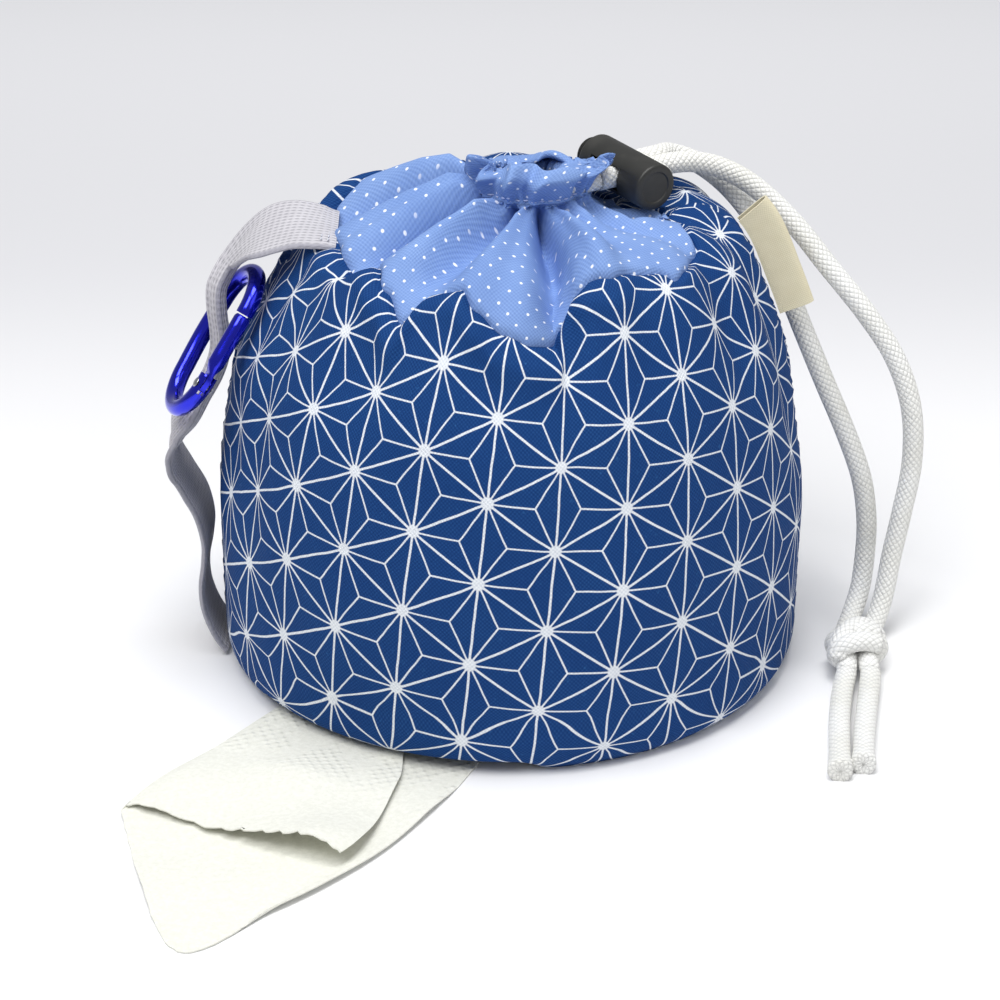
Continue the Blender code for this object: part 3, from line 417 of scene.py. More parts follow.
def lathe(name, outline, origin, axis, look, segments=64):
    """A solid turned about an axis from (radius, distance) points that begin and end on it."""
    bm = bmesh.new()
    first, last = (bm.verts.new((0, 0, end[1] * MM)) for end in (outline[0], outline[-1]))
    rings = []
    for radius, height in outline[1:-1]:
        spots = [Vector((radius * math.cos(t), radius * math.sin(t), height)) for t in circle(segments)]
        rings.append([bm.verts.new(spot * MM) for spot in spots])
    bridge(bm, rings)
    for end, ring in ((first, rings[0]), (last, rings[-1])):
        for i in range(segments):
            bm.faces.new((end, ring[i], ring[(i + 1) % segments]))
    turn = axis.to_track_quat("Z", "Y").to_matrix().to_4x4()
    bm.transform(Matrix.Translation(origin * MM) @ turn)
    return closed(name, bm, look)


def loft_bm(rows):
    bm = bmesh.new()
    made = [[bm.verts.new(p * MM) for p in row] for row in rows]
    bridge(bm, made)
    bm.faces.new(made[0])
    bm.faces.new(made[-1])
    return bm


def keep(piece, sharp=38):
    """Make a piece's modifiers part of its mesh."""
    deps = bpy.context.evaluated_depsgraph_get()
    mesh = bpy.data.meshes.new_from_object(piece.evaluated_get(deps))
    piece.modifiers.clear()
    piece.data = mesh
    mesh.shade_smooth()
    mesh.set_sharp_from_angle(angle=math.radians(sharp))


def modified(piece, kind, sharp=38, **settings):
    """Apply one modifier to a piece."""
    modifier = piece.modifiers.new("step", kind)
    for name, value in settings.items():
        setattr(modifier, name, value)
    keep(piece, sharp)


def cut(piece, bm):
    """Take a closed bmesh away from a piece."""
    cutter = closed(piece.name + "_cutter", bm, piece.data.materials[0])
    modified(piece, "BOOLEAN", operation="DIFFERENCE", object=cutter, solver="EXACT")
    bpy.data.objects.remove(cutter)


def soften(piece, width, angle=35):
    modified(
        piece, "BEVEL", width=width * MM, segments=2, limit_method="ANGLE",
        angle_limit=math.radians(angle),
    )


def thicken(piece, look, thickness, offset=-1, sharp=60):
    piece.data.materials.append(look)
    modified(piece, "SOLIDIFY", sharp, thickness=thickness * MM, offset=offset)


@contextmanager
def edited(piece):
    """A piece's mesh as a bmesh that is written back."""
    bm = bmesh.new()
    bm.from_mesh(piece.data)
    yield bm
    bm.to_mesh(piece.data)
    bm.free()


def finished(piece, look, sharp):
    """Face a tape's mesh outward and give it its look."""
    with edited(piece) as bm:
        bmesh.ops.holes_fill(bm, edges=[e for e in bm.edges if e.is_boundary])
        bmesh.ops.recalc_face_normals(bm, faces=bm.faces)
    piece.data.materials.append(look)
    piece.data.shade_smooth()
    piece.data.set_sharp_from_angle(angle=math.radians(sharp))


def block_bm(size, place):
    bm = bmesh.new()
    bmesh.ops.create_cube(bm, size=1.0)
    bm.transform(place @ Matrix.Diagonal((*[s * MM for s in size], 1)))
    return bm


def rod_bm(radius, start, end, sides=24):
    bm = bmesh.new()
    run = end - start
    wide = radius * MM
    bmesh.ops.create_cone(
        bm, cap_ends=True, segments=sides, radius1=wide, radius2=wide, depth=run.length * MM
    )
    turn = run.to_track_quat("Z", "Y").to_matrix().to_4x4()
    bm.transform(Matrix.Translation((start + end) / 2 * MM) @ turn)
    return bm


def frame_of(origin, *axes):
    return Matrix.Translation(origin * MM) @ Matrix(axes).transposed().to_4x4()


def operation(kind):
    return lambda self, *others: self.look.math(kind, self, *others)


class Value:
    """A node's output that takes part in arithmetic."""

    __add__ = operation("ADD")
    __sub__ = operation("SUBTRACT")
    __mul__ = operation("MULTIPLY")
    __truediv__ = operation("DIVIDE")
    __mod__ = operation("MODULO")
    __pow__ = operation("POWER")
    __lt__ = operation("LESS_THAN")
    __abs__ = operation("ABSOLUTE")
    round = operation("ROUND")
    floor = operation("FLOOR")
    sine = operation("SINE")
    root = operation("SQRT")
    least = operation("MINIMUM")
    most = operation("MAXIMUM")
    angle = operation("ARCTAN2")

    def __init__(self, look, socket):
        self.look = look
        self.socket = socket

    def near(self, period):
        """Signed distance to the nearest multiple of a period."""
        return self - (self / period).round() * period


class Look:
    """A node material in the making."""

    def __init__(self, name, roughness=0.8, metallic=0.0):
        self.made = bpy.data.materials.new(name)
        self.made.use_nodes = True
        self.tree = self.made.node_tree
        self.shader = self.tree.nodes["Principled BSDF"]
        self.put("Roughness", roughness)
        self.put("Metallic", metallic)
        self.put("Specular IOR Level", 0.5 if roughness < 0.6 else 0.15)

    def feed(self, socket, value):
        if isinstance(value, Value):
            self.tree.links.new(value.socket, socket)
        elif value is not None:
            socket.default_value = value

    def put(self, name, value):
        self.feed(self.shader.inputs[name], value)

    def colour(self, value):
        self.put("Base Color", value)

    def node(self, kind, inputs, output=0, **settings):
        """The output of a new node, with its inputs by number or name."""
        made = self.tree.nodes.new("ShaderNode" + kind)
        for name, value in settings.items():
            setattr(made, name, value)
        for key, value in inputs.items():
            self.feed(made.inputs[key], value)
        return Value(self, made.outputs[output])

    def math(self, kind, *values):
        return self.node("Math", dict(enumerate(values)), operation=kind)

    def mix(self, share, a, b):
        return self.node("Mix", {0: share, 6: a, 7: b}, 2, data_type="RGBA")

    def blend(self, share, a, b):
        return self.node("Mix", {0: share, 2: a, 3: b})

    def ramp(self, value, low, high, to_low=0.0, to_high=1.0):
        limits = dict(enumerate((value, low, high, to_low, to_high)))
        return self.node("MapRange", limits, interpolation_type="SMOOTHSTEP")

    def parts(self, value, kind="SeparateXYZ"):
        return [self.node(kind, {0: value}, k) for k in (0, 1)]

    def uv(self, layer="cloth"):
        where = self.node("UVMap", {}, uv_map=layer)
        return where, *self.parts(where)

    def place(self):
        return self.node("TexCoord", {}, "Object")

    def noise(self, where, scale, detail=3.0, rough=0.55):
        inputs = {"Vector": where, "Scale": scale, "Detail": detail, "Roughness": rough}
        return self.node("TexNoise", inputs, "Fac")

    def bump(self, height, distance, strength=1.0, under=None):
        inputs = {
            "Distance": distance * MM, "Strength": strength, "Height": height, "Normal": under,
        }
        found = self.node("Bump", inputs)
        self.put("Normal", found)
        return found

    def weave(self, u, v, period):
        """Plain weave: threads that pass over and under in turn, 0 to 1."""
        across, along = ((way * (2 * math.pi / period)).sine() for way in (u, v))
        return across * along * 0.5 + 0.5


def linear(r, g, b):
    """sRGB bytes as linear colour."""
    found = []
    for value in (r / 255, g / 255, b / 255):
        found.append(value / 12.92 if value <= 0.04045 else ((value + 0.055) / 1.055) ** 2.4)
    return (*found, 1)


STAR = 19.0
STAR_COLUMN = STAR * math.sqrt(3) / 2
STAR_LEAN = math.radians(5.7)
STAR_X = 122.5
STAR_Y = -37.5
SPOKE = math.pi / 6
COTTON_WEAVE = 0.95
DOT_STEP = 4.5
DOT_ROW = DOT_STEP * 0.62


def star_mask(look, u, v, wobble):
    """White lines of the hemp-leaf pattern: twelve spokes round the nearest star."""
    u, v = u + wobble * 0.5, v - wobble * 0.4
    cos, sin = math.cos(STAR_LEAN), math.sin(STAR_LEAN)
    x, y = u * cos - v * sin + STAR_X, u * sin + v * cos + STAR_Y
    xa, ya = x.near(2 * STAR_COLUMN), y.near(STAR)
    xb, yb = (x + STAR_COLUMN).near(2 * STAR_COLUMN), (y + STAR / 2).near(STAR)
    ra, rb = xa * xa + ya * ya, xb * xb + yb * yb
    first = ra < rb
    radius = ra.least(rb).root()
    angle = look.blend(first, yb, ya).angle(look.blend(first, xb, xa))
    spoke = (angle / SPOKE).round()
    away = radius * abs((angle - spoke * SPOKE).sine())
    half = abs(spoke % 2.0) * 0.07 + 0.19
    line = look.ramp(away - half, -0.09, 0.1, 1.0, 0.0)
    return line.most(look.ramp(radius, 1.25, 1.7, 1.0, 0.0))


def navy_cotton():
    look = Look("navy_cotton", 0.82)
    where, u, v = look.uv()
    mask = star_mask(look, u, v, look.noise(where, 0.12, 2.0) - 0.5)
    weave = look.weave(u, v, COTTON_WEAVE)
    slub = look.noise(where, 0.8, 2.0)
    patch = look.ramp(look.noise(where, 0.045), 0.3, 0.7)
    base = look.mix(patch, linear(36, 86, 147), linear(48, 102, 162))
    base = look.mix(weave * 0.42, linear(13, 54, 112), base)
    base = look.mix(weave * 0.45 + 0.4, linear(13, 52, 108), base)
    base = look.mix(look.ramp(slub, 0.62, 0.8, 0.0, 0.25), base, linear(62, 122, 182))
    white = look.mix(weave * 0.5 + 0.5, linear(186, 197, 212), linear(240, 243, 247))
    look.colour(look.mix(mask * (slub * 0.25 + 0.83), base, white))
    look.put("Roughness", weave * -0.08 + 0.86)
    threads = look.bump(mask * 0.12 + weave, 0.11, 0.75)
    look.bump(look.noise(look.place(), 160.0), 0.35, 0.35, threads)
    return look.made


def dotted_cotton():
    look = Look("dotted_cotton", 0.82)
    where, u, v = look.uv()
    gv = v / DOT_ROW
    row = gv.floor()
    gu = u / DOT_STEP + abs(row % 2.0) * 0.5
    column = gu.floor()
    cell = look.node("CombineXYZ", {0: column, 1: row})
    stray = look.node("TexWhiteNoise", {"Vector": cell}, "Color", noise_dimensions="2D")
    jx, jy = look.parts(stray, "SeparateColor")
    dx = (gu - column - (jx * 0.16 + 0.42)) * DOT_STEP
    dy = (gv - row - (jy * 0.2 + 0.4)) * DOT_ROW
    dots = look.ramp((dx * dx + dy * dy).root(), 0.24, 0.42, 1.0, 0.0) * look.uv("fold")[1]
    weave = look.weave(u, v, COTTON_WEAVE)
    patch = look.ramp(look.noise(where, 0.05), 0.3, 0.7)
    base = look.mix(patch, linear(124, 153, 206), linear(140, 169, 219))
    base = look.mix(weave * 0.5 + 0.45, linear(92, 122, 184), base)
    look.colour(look.mix(dots, base, linear(240, 243, 250)))
    look.bump(look.noise(look.place(), 150.0), 0.4, 0.35, look.bump(weave, 0.11, 0.75))
    return look.made


def plain_base():
    look = Look("base_cotton", 0.88)
    where, u, v = look.uv()
    weave = look.weave(u, v, 1.1)
    base = look.mix(look.noise(where, 0.06), linear(22, 66, 122), linear(30, 84, 144))
    look.colour(look.mix(weave * 0.5 + 0.45, linear(12, 44, 90), base))
    look.bump(weave, 0.14, 0.8)
    return look.made


def braid(name):
    """Round braided cotton: two sets of strands that cross, on a tube's length and turn."""
    look = Look(name, 0.88)
    u, v = look.uv()[1:]
    body = look.place()
    step, turn = u * (math.pi / 1.7), v * (math.pi * 10)
    strands = (abs((step + turn).sine()) * abs((step - turn).sine())) ** 0.55
    dirt = look.ramp(look.noise(body, 45.0), 0.3, 0.75)
    base = look.mix(dirt, linear(250, 250, 248), linear(236, 235, 228))
    # painted shade: the grooves between the strands are mixed halfway towards grey
    look.colour(look.mix(look.ramp(strands, 0.0, 0.55, 0.5, 0.0), base, linear(196, 196, 192)))
    look.bump(look.noise(body, 2600.0, 2.0), 0.12, 0.5, look.bump(strands, 0.32, 0.8))
    look.put("Sheen Weight", 0.25)
    return look.made


def webbing_look():
    look = Look("grey_webbing", 0.7)
    where, u, v = look.uv()
    ribs = (v * (2 * math.pi / 1.15)).sine()
    picks = (u * (2 * math.pi / 1.5) + ribs * 1.2).sine()
    height = ribs * picks * 0.35 + ribs * 0.5
    base = look.mix(look.noise(where, 0.15), linear(186, 184, 190), linear(208, 206, 211))
    # painted shade: the valleys between the ribs and picks are mixed towards a darker grey
    base = look.mix(look.ramp(height, -0.7, 0.2, 0.55, 0.0), base, linear(118, 117, 126))
    look.colour(look.mix(look.ramp(abs(v), 8.9, 9.4), base, linear(160, 159, 168)))
    look.bump(height, 0.16, 0.8)
    look.put("Sheen Weight", 0.15)
    return look.made


def label_look():
    look = Look("label_tape", 0.78)
    where, u, v = look.uv()
    weave = look.weave(u, v, 0.6)
    base = look.mix(look.noise(where, 0.3), linear(226, 217, 186), linear(236, 229, 202))
    look.colour(look.mix(weave * 0.4 + 0.6, linear(200, 190, 158), base))
    look.bump(weave, 0.07, 0.6)
    return look.made


def paper_look(name, emboss):
    look = Look(name, 0.92)
    body = look.place()
    fibre = look.noise(body, 900.0, 5.0, 0.7)
    look.colour(look.mix(look.ramp(fibre, 0.3, 0.75), linear(224, 224, 214), linear(236, 236, 227)))
    last = look.bump(fibre, 0.18, 0.5, look.bump(look.noise(body, 70.0, 4.0), 0.9, 0.5))
    if emboss:
        where, u, v = look.uv()
        field = look.ramp(look.noise(where, 0.09, 2.0), 0.42, 0.55)
        field = look.ramp(u, 78.0, 96.0, 1.0, 0.0) * field
        look.bump(look.weave(u, v, 3.0) ** 3.0 * field, 0.45, 0.7, last)
    look.put("Subsurface Weight", 0.1)
    look.put("Subsurface Radius", (0.003, 0.003, 0.003))
    return look.made


def plastic(name, colour, roughness, grain):
    look = Look(name, roughness)
    body = look.place()
    marks = look.noise(body, 120.0, 4.0)
    look.colour(look.mix(look.ramp(marks, 0.45, 0.75, 0.0, 0.5), colour, linear(62, 61, 57)))
    look.put("Roughness", look.ramp(marks, 0.3, 0.8, roughness - 0.06, roughness + 0.12))
    look.bump(look.noise(body, 1400.0), grain, 0.5)
    return look.made


def metal(name, colour, roughness, coat=0.0):
    look = Look(name, roughness, 1.0)
    body = look.place()
    marks = look.noise(body, 260.0, 4.0)
    look.colour(colour)
    look.put("Roughness", look.ramp(marks, 0.3, 0.8, roughness * 0.8, roughness * 1.4))
    look.bump(look.noise(body, 900.0, 2.0), 0.02, 0.25)
    if coat:
        look.put("Coat Weight", coat)
        look.put("Coat Roughness", 0.08)
    return look.made


def thread(name, colour):
    look = Look(name, 0.7)
    body = look.place()
    look.colour(look.mix(look.noise(body, 1500.0), colour, linear(230, 232, 238)))
    look.bump(look.noise(body, 2600.0), 0.05, 0.6)
    return look.made


def place_piece(piece, slot, *nodes, body="pouch"):
    if nodes:
        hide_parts(*nodes)
    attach(piece, body)
    return piece


def seam_pull(place, seam):
    """How far both cloths are drawn into the seam that joins them."""
    return SEAM_PULL * np.exp(-((place - seam) / SEAM_WIDTH) ** 2)


def wall_panel(name, start, slot, node, look, shift):
    """Half of the patterned wall, from one side seam to the other."""
    columns = COLUMNS // 2 + 1
    angles = start + np.arange(columns) * 180.0 / (columns - 1)
    angles[0] += 0.02
    angles[-1] -= 0.02
    seam = seam_place(angles)
    places = [np.full(columns, p) for p in np.linspace(0, SHOULDER, 66)[:-1]]
    places += [SHOULDER + (seam - SHOULDER) * share for share in np.linspace(0, 1, 44)]
    place = np.array(places)
    degrees = np.broadcast_to(angles, place.shape)
    points = sculpted(degrees, place)
    out = normals(points, False)
    puff = 1.5 * np.exp(-((seam - place - 0.4) / 0.28) ** 2)
    puff = puff * smooth(np.abs(turn_between(degrees, -10)), 40, 65)
    points = points + out * (puff - seam_pull(place, seam))[..., None]
    aside = np.minimum(np.abs(turn_between(degrees, 0)), np.abs(turn_between(degrees, 180)))
    height = points[..., 2]
    puckers = 0.45 * np.sin(height * 1.25 + 0.6 * np.sin(height * 0.31)) * np.exp(-(aside / 4) ** 2)
    groove = 1.3 * np.exp(-aside ** 2)
    points = points + out * ((puckers - groove) * smooth(place, 0.3, 1.0))[..., None]
    run = np.interp(place, range(GATHER + 1), RUN) + shift[1]
    across = np.broadcast_to(np.radians(angles) * BODY_RADIUS + shift[0], run.shape)
    piece = grid_piece(name, points, np.stack((across, run), -1), around=False)
    thicken(piece, look, WALL_CLOTH)
    place_piece(piece, slot, node)


# Rows of the collar from the gather up the channel, over the ruffle and back down inside to the
# hem: radius, height, depth of the lobes and of the fine gathers, share of the rim's rise, share
# of the squeeze, and half width and half depth of the squeezed mouth
NECK_ROWS = (
    (13.4, 116.8, 0.5, 0.4, 0, 0, 0, 0), (13.2, 117.4, 0.6, 0.5, 0, 0, 0, 0),
    (13.5, 118.1, 0.9, 0.55, 0, 0, 0, 0), (13.9, 118.9, 1.2, 0.55, 0, 0, 0, 0),
    (14.3, 119.8, 1.4, 0.5, 0.1, 0, 0, 0), (14.6, 120.8, 1.6, 0.5, 0.2, 0.08, 15.5, 13.5),
    (14.7, 121.7, 1.7, 0.4, 0.4, 0.25, 16.4, 12.2), (14.6, 122.6, 1.9, 0.35, 0.6, 0.5, 17.0, 10.8),
    (14.4, 123.4, 2.0, 0.3, 0.8, 0.75, 17.3, 9.4), (14.2, 124.1, 2.1, 0.25, 1.0, 0.92, 17.3, 8.4),
    (14.0, 124.6, 2.1, 0.25, 1.1, 1.0, 17.0, 7.6), (13.6, 124.6, 2.0, 0.25, 1.1, 1.0, 16.4, 6.9),
    (13.2, 124.2, 1.8, 0.25, 1.0, 1.0, 15.8, 6.3), (12.7, 123.6, 1.5, 0.25, 0.8, 0.95, 15.0, 5.8),
    (12.2, 122.9, 1.1, 0.3, 0.5, 0.8, 13.8, 5.6), (11.6, 122.3, 0.7, 0.3, 0.3, 0.5, 12.0, 6.2),
    (10.8, 121.9, 0.4, 0.3, 0.1, 0.2, 10.5, 7.2), (9.2, 121.7, 0.35, 0.3, 0, 0, 0, 0),
    (7.3, 121.2, 0.3, 0.25, 0, 0, 0, 0), (6.1, 120.0, 0.3, 0.25, 0, 0, 0, 0),
    (5.9, 118.6, 0.3, 0.2, 0, 0, 0, 0), (6.6, 117.0, 0.3, 0.2, 0, 0, 0, 0),
    (8.0, 115.9, 0.2, 0.1, 0, 0, 0, 0),
)
MOUTH_X = 2.4
MOUTH_Y = -4.5


def lean_back(points):
    """The channel is a little lower at the back."""
    behind = np.maximum(0, points[..., 1] - NECK_Y + 2)
    points[..., 2] -= 0.014 * behind * behind * np.clip((points[..., 2] - 112) / 5, 0, 1)
    return points


def neck_rows():
    """The rows' points. The ruffle is squeezed to a narrow mouth that lies right and in front."""
    turn = np.radians(ANGLES)
    warped = turn + 0.16 * np.sin(3 * turn + 0.7) + 0.1 * np.sin(5 * turn + 2.1)
    right = np.exp(-(turn_between(ANGLES, 5) / 38) ** 2)
    lobes = np.cos(10 * warped + 0.5) * (1 - 0.75 * right)
    fine = np.cos(23 * warped + 0.8)
    rise = np.cos(4 * turn + 0.6) + 0.8 * np.cos(7 * turn + 2.0)
    behind = smooth(np.sin(turn), -0.3, 0.8)
    rows = []
    for radius, height, deep, small, lift, squeeze, wide, narrow in NECK_ROWS:
        reach = deep * lobes + small * fine
        x = (1 - squeeze) * (radius + reach) * np.cos(turn)
        y = (1 - squeeze) * (radius + reach) * np.sin(turn)
        x += squeeze * (MOUTH_X + (wide - 1.6 + reach) * np.cos(turn))
        y += squeeze * (MOUTH_Y + (narrow + reach) * np.sin(turn))
        z = height + lift * rise - 2.4 * squeeze * squeeze * behind
        rows.append(lean_back(np.stack((NECK_X + x, NECK_Y + y, z), axis=-1)))
    return np.array(rows)


def beside_lock(points):
    """Keep the ruffle off the side of the cord lock."""
    out, side = from_neck(points)
    top = LOCK_FRONT.z + LOCK_RADIUS - LOCK_TILT * (FRONT_SIDE - side)
    limit = LOCK_OUT - LOCK_RADIUS - 0.7 + 1.2 * np.maximum(0, points[..., 2] - top + 0.6)
    past = np.maximum(side - FRONT_SIDE - 1, BACK_SIDE - 1 - side)
    over = np.maximum(0, out - limit - 2.0 * np.maximum(0, past))
    points[..., 0] -= over * CORDS.x
    points[..., 1] -= over * CORDS.y
    return points


def open_for_cords(piece):
    """Take the cloth away where a cord goes through it."""
    spots = []
    for points, radius in CORD_PATHS.values():
        for a, b in zip(points, points[1:]):
            steps = max(1, int((b - a).length / 0.4))
            spots += [(a.lerp(b, k / steps), radius) for k in range(steps)]
    tree = kdtree.KDTree(len(spots))
    for i, (spot, radius) in enumerate(spots):
        tree.insert(spot, i)
    tree.balance()
    with edited(piece) as bm:
        inside = []
        for face in bm.faces:
            middle = face.calc_center_median() / MM
            spot, index, away = tree.find(middle)
            if away < spots[index][1] + CLEAR and (middle - NECK).dot(CORDS) > 5:
                inside.append(face)
        bmesh.ops.delete(bm, geom=inside, context="FACES")


def collar_piece():
    seam = seam_place(ANGLES)
    place = np.array([seam + (GATHER - seam) * share for share in np.linspace(0, 1, 60)])
    points = sculpted(np.broadcast_to(ANGLES, place.shape), place)
    points = points - normals(points) * seam_pull(place, seam)[..., None]
    extra = beside_lock(through(neck_rows(), np.linspace(0, len(NECK_ROWS) - 1, 74)))
    grid = np.concatenate((points, extra), axis=0)
    crown = len(place)
    reach = wrapped(NECK_RADIUS + RUN[GATHER] - np.interp(place, range(GATHER + 1), RUN))
    angles = np.radians(ANGLES[0] + np.arange(COLUMNS + 1) * 360.0 / COLUMNS)
    up = np.cumsum(np.linalg.norm(np.diff(grid[crown - 1:, 0], axis=0), axis=-1))
    on_neck = np.stack(np.broadcast_arrays(16.0 * angles, up[:, None]), -1)
    uv = np.concatenate((np.stack((reach * np.cos(angles), reach * np.sin(angles)), -1), on_neck))
    piece = grid_piece("pouch_collar", grid, uv)
    drawn = np.linalg.norm(np.diff(uv, axis=1), axis=-1)
    real = np.linalg.norm(np.roll(grid, -1, axis=1) - grid, axis=-1)
    fade = quads(wrapped(1 - smooth(real / np.maximum(drawn, 1e-6), 1.6, 2.6))).reshape(-1)
    layer = piece.data.uv_layers.new(name="fold")
    layer.data.foreach_set("uv", np.stack((fade, np.zeros_like(fade)), -1).reshape(-1))
    open_for_cords(piece)
    thicken(piece, dotted_cotton(), COLLAR_CLOTH)
    place_piece(piece, "plain_cotton", "collar")


def base_piece():
    """Round cloth base with a bound slot."""
    turn = math.radians(PAPER_HEADING + 90)
    across = np.array((math.cos(turn), math.sin(turn), 0))
    ahead = np.array((-across[1], across[0], 0))
    turns = circle(96)[:, None]
    end = SLOT_WIDTH / 2
    side = np.copysign(SLOT_LENGTH / 2 - end, np.cos(turns))
    inner = across * (side + end * np.cos(turns)) + ahead * (end * np.sin(turns))
    radius = BODY_RADIUS - FOOT_TUCK * 0.2 - 1.6 - 3 * CLEAR - 0.5
    outer = (across * np.cos(turns) + ahead * np.sin(turns)) * radius
    rings = []
    for share in (0.0, 0.03, 0.08, 0.3, 0.6, 0.9, 1.0):
        lift = PANEL_HEIGHT + 0.2 - (0.35 if share == 0.03 else 0.0)
        rings.append(inner + (outer - inner) * share + np.array((0, 0, lift)))
    points = np.array(rings)
    piece = grid_piece("pouch_base", points, wrapped(points[..., :2]))
    upward = piece.data.polygons[0].normal.z > 0
    thicken(piece, plain_base(), BASE_CLOTH, 1 if upward else -1)
    place_piece(piece, "base_cotton", "base_panel")


NEAR_ROUTE = (
    (43.0, 13.0, 117.4), (50.0, 15.0, 115.0), (57.8, 15.0, 110.4), (67.0, 13.5, 102.0),
    (75.5, 11.0, 92.0), (84.5, 8.0, 81.5), (92.0, 6.0, 70.5), (96.5, 4.5, 58.0), (97.5, 4.0, 44.0),
    (95.8, 3.2, 31.0), (93.8, 2.0, 19.5), (92.0, -1.0, 10.0), (89.4, -5.5, 4.4), (86.2, -11.4, 3.0),
)
FAR_ROUTE = (
    (37.8, 19.5, 117.2), (45.5, 21.5, 113.6), (53.5, 20.0, 107.0), (60.8, 16.0, 97.6),
    (65.8, 12.5, 86.5), (70.4, 11.0, 75.5), (76.0, 10.0, 62.5), (81.5, 9.5, 50.0), (86.0, 9.0, 38.0),
    (88.0, 9.0, 27.0), (88.2, 8.5, 17.5), (87.0, 5.0, 9.0), (84.0, -2.0, 4.0), (80.8, -11.4, 3.0),
)
KNOT = Vector((83.4, -19.9, 6.2))
KNOT_CORES = (
    ((2.8, 8.3, -3.2), (2.6, 4, -1.8), (2.4, -3, -1.8), (2.6, -8.1, -2.9)),
    ((-2.6, 8.3, -3.2), (-2.5, 4, -1.8), (-2.5, -3, -1.8), (-3.2, -8.1, -2.9)),
)
KNOT_CROSSING = (
    (5.4, 5.6, -1.6), (3.6, 5.4, 1.6), (0.6, 3.6, 3.4), (-2.4, 0.6, 3.5), (-4.6, -2.6, 2.0),
    (-5.0, -5.2, -0.8),
)
TAILS = (
    ("tail_left", "cord_tail_left", "left_tail_braid", (
        (80.2, -28.2, 3.3), (78.4, -36.0, 2.8), (76.6, -47.0, 2.7), (75.2, -59.0, 2.7), (74.0, -71.5, 2.7),
    )),
    ("tail_right", "cord_tail_right", "right_tail_braid", (
        (86.0, -28.2, 3.3), (84.7, -36.0, 2.8), (82.9, -46.0, 2.7), (81.1, -57.0, 2.7), (79.6, -68.5, 2.7),
    )),
)


def cord_path(lane, outs, route):
    """A cord from inside the neck through the lock and along its free route."""
    start = NECK + LOCK_AXIS * lane
    return sampled([start + CORDS * out for out in outs] + [Vector(p) for p in route], 120)


def channel_path():
    start = math.degrees(math.atan2(LOCK_AXIS.y, LOCK_AXIS.x))
    end = start + math.degrees(math.acos((LANE_BACK - CORD_BEND) / RING_RADIUS))
    points = [
        NECK + CORDS * (NEAR_START - 2 * CLEAR) + LOCK_AXIS * RING_RADIUS,
        NECK + CORDS * NEAR_START * 0.45 + LOCK_AXIS * RING_RADIUS * 0.995,
    ]
    first = start - 4
    for i in range(27):
        turn = math.radians(first - (first - end + 360) * i / 26)
        spot = NECK + Vector((math.cos(turn), math.sin(turn), 0)) * RING_RADIUS
        points.append(Vector(lean_back(np.array(spot))))
    for i in range(1, 6):
        turn = math.radians(18 * i)
        side = LANE_BACK - CORD_BEND * (1 - math.sin(turn))
        points.append(NECK + CORDS * (BACK_TURN - CORD_BEND * math.cos(turn)) + LOCK_AXIS * side)
    return sampled(points, 110)


IN_LOCK = (LOCK_OUT, LOCK_OUT + 6, LOCK_OUT + 12)
NEAR_PATH = cord_path(LANE_FRONT, (NEAR_START, LOCK_OUT - LOCK_RADIUS, *IN_LOCK), NEAR_ROUTE)
FAR_PATH = cord_path(LANE_BACK, (BACK_TURN + 2 * CLEAR, *IN_LOCK), FAR_ROUTE)
CHANNEL_PATH = channel_path()
CORD_PATHS = {
    "near": (NEAR_PATH, CORD / 2), "far": (FAR_PATH, CORD / 2),
    "channel": (CHANNEL_PATH, RING_CORD / 2),
}


def knot_strands():
    """Centre lines of the knot: two cords laid together round, over the cords they hold."""
    strands = []
    for lane in (-2.35, 2.35):
        points = []
        for i in range(34):
            turn = 0.5 + 2 * math.pi * 1.02 * i / 33
            across = lane + 1.5 * math.cos(turn + 0.6) + 0.5 * (i / 33 - 0.5)
            points.append(KNOT + Vector((5.2 * math.cos(turn), across, 3.1 * math.sin(turn))))
        strands.append(points)
    for route, count in ((KNOT_CROSSING, 20), (KNOT_CORES[0], 14), (KNOT_CORES[1], 14)):
        strands.append(sampled([KNOT + Vector(p) for p in route], count))
    return strands


def knot_piece():
    look = braid("knot_braid_cloth")
    strands = []
    for k, points in enumerate(knot_strands()):
        strands.append(tube_piece("knot_strand_%d" % k, points, CORD / 2 * 0.97, look, cap=0.8))
    knot = strands[0]
    with edited(knot) as bm:
        for strand in strands[1:]:
            bm.from_mesh(strand.data)
    for strand in strands[1:]:
        bpy.data.objects.remove(strand)
    knot.name = "overhand_knot"
    knot.data.shade_smooth()
    return place_piece(knot, "knot_braid", "cord_knot")


def free_cords():
    knot = knot_piece()
    for side, points in (("near", NEAR_PATH), ("far", FAR_PATH)):
        piece = tube_piece("cord_" + side, points, CORD / 2, braid(side + "_braid_cloth"))
        place_piece(piece, side + "_braid", "drawcord_" + side)
    for name, node, slot, route in TAILS:
        points = sampled(route, 40)
        radii = CORD / 2 * (1 + 0.16 * smooth(np.arange(40), 33, 39))
        piece = tube_piece(name, points, radii, braid(slot + "_cloth"), cap=0.15)
        place_piece(piece, slot, node)


def channel_piece():
    look = braid("channel_braid_cloth")
    piece = tube_piece("cord_in_channel", CHANNEL_PATH, RING_CORD / 2, look)
    place_piece(piece, "channel_braid", "channel_cord")


COIL_TURNS = 4
COIL_RADIUS = 3.1
SPRING_WIRE = 0.3


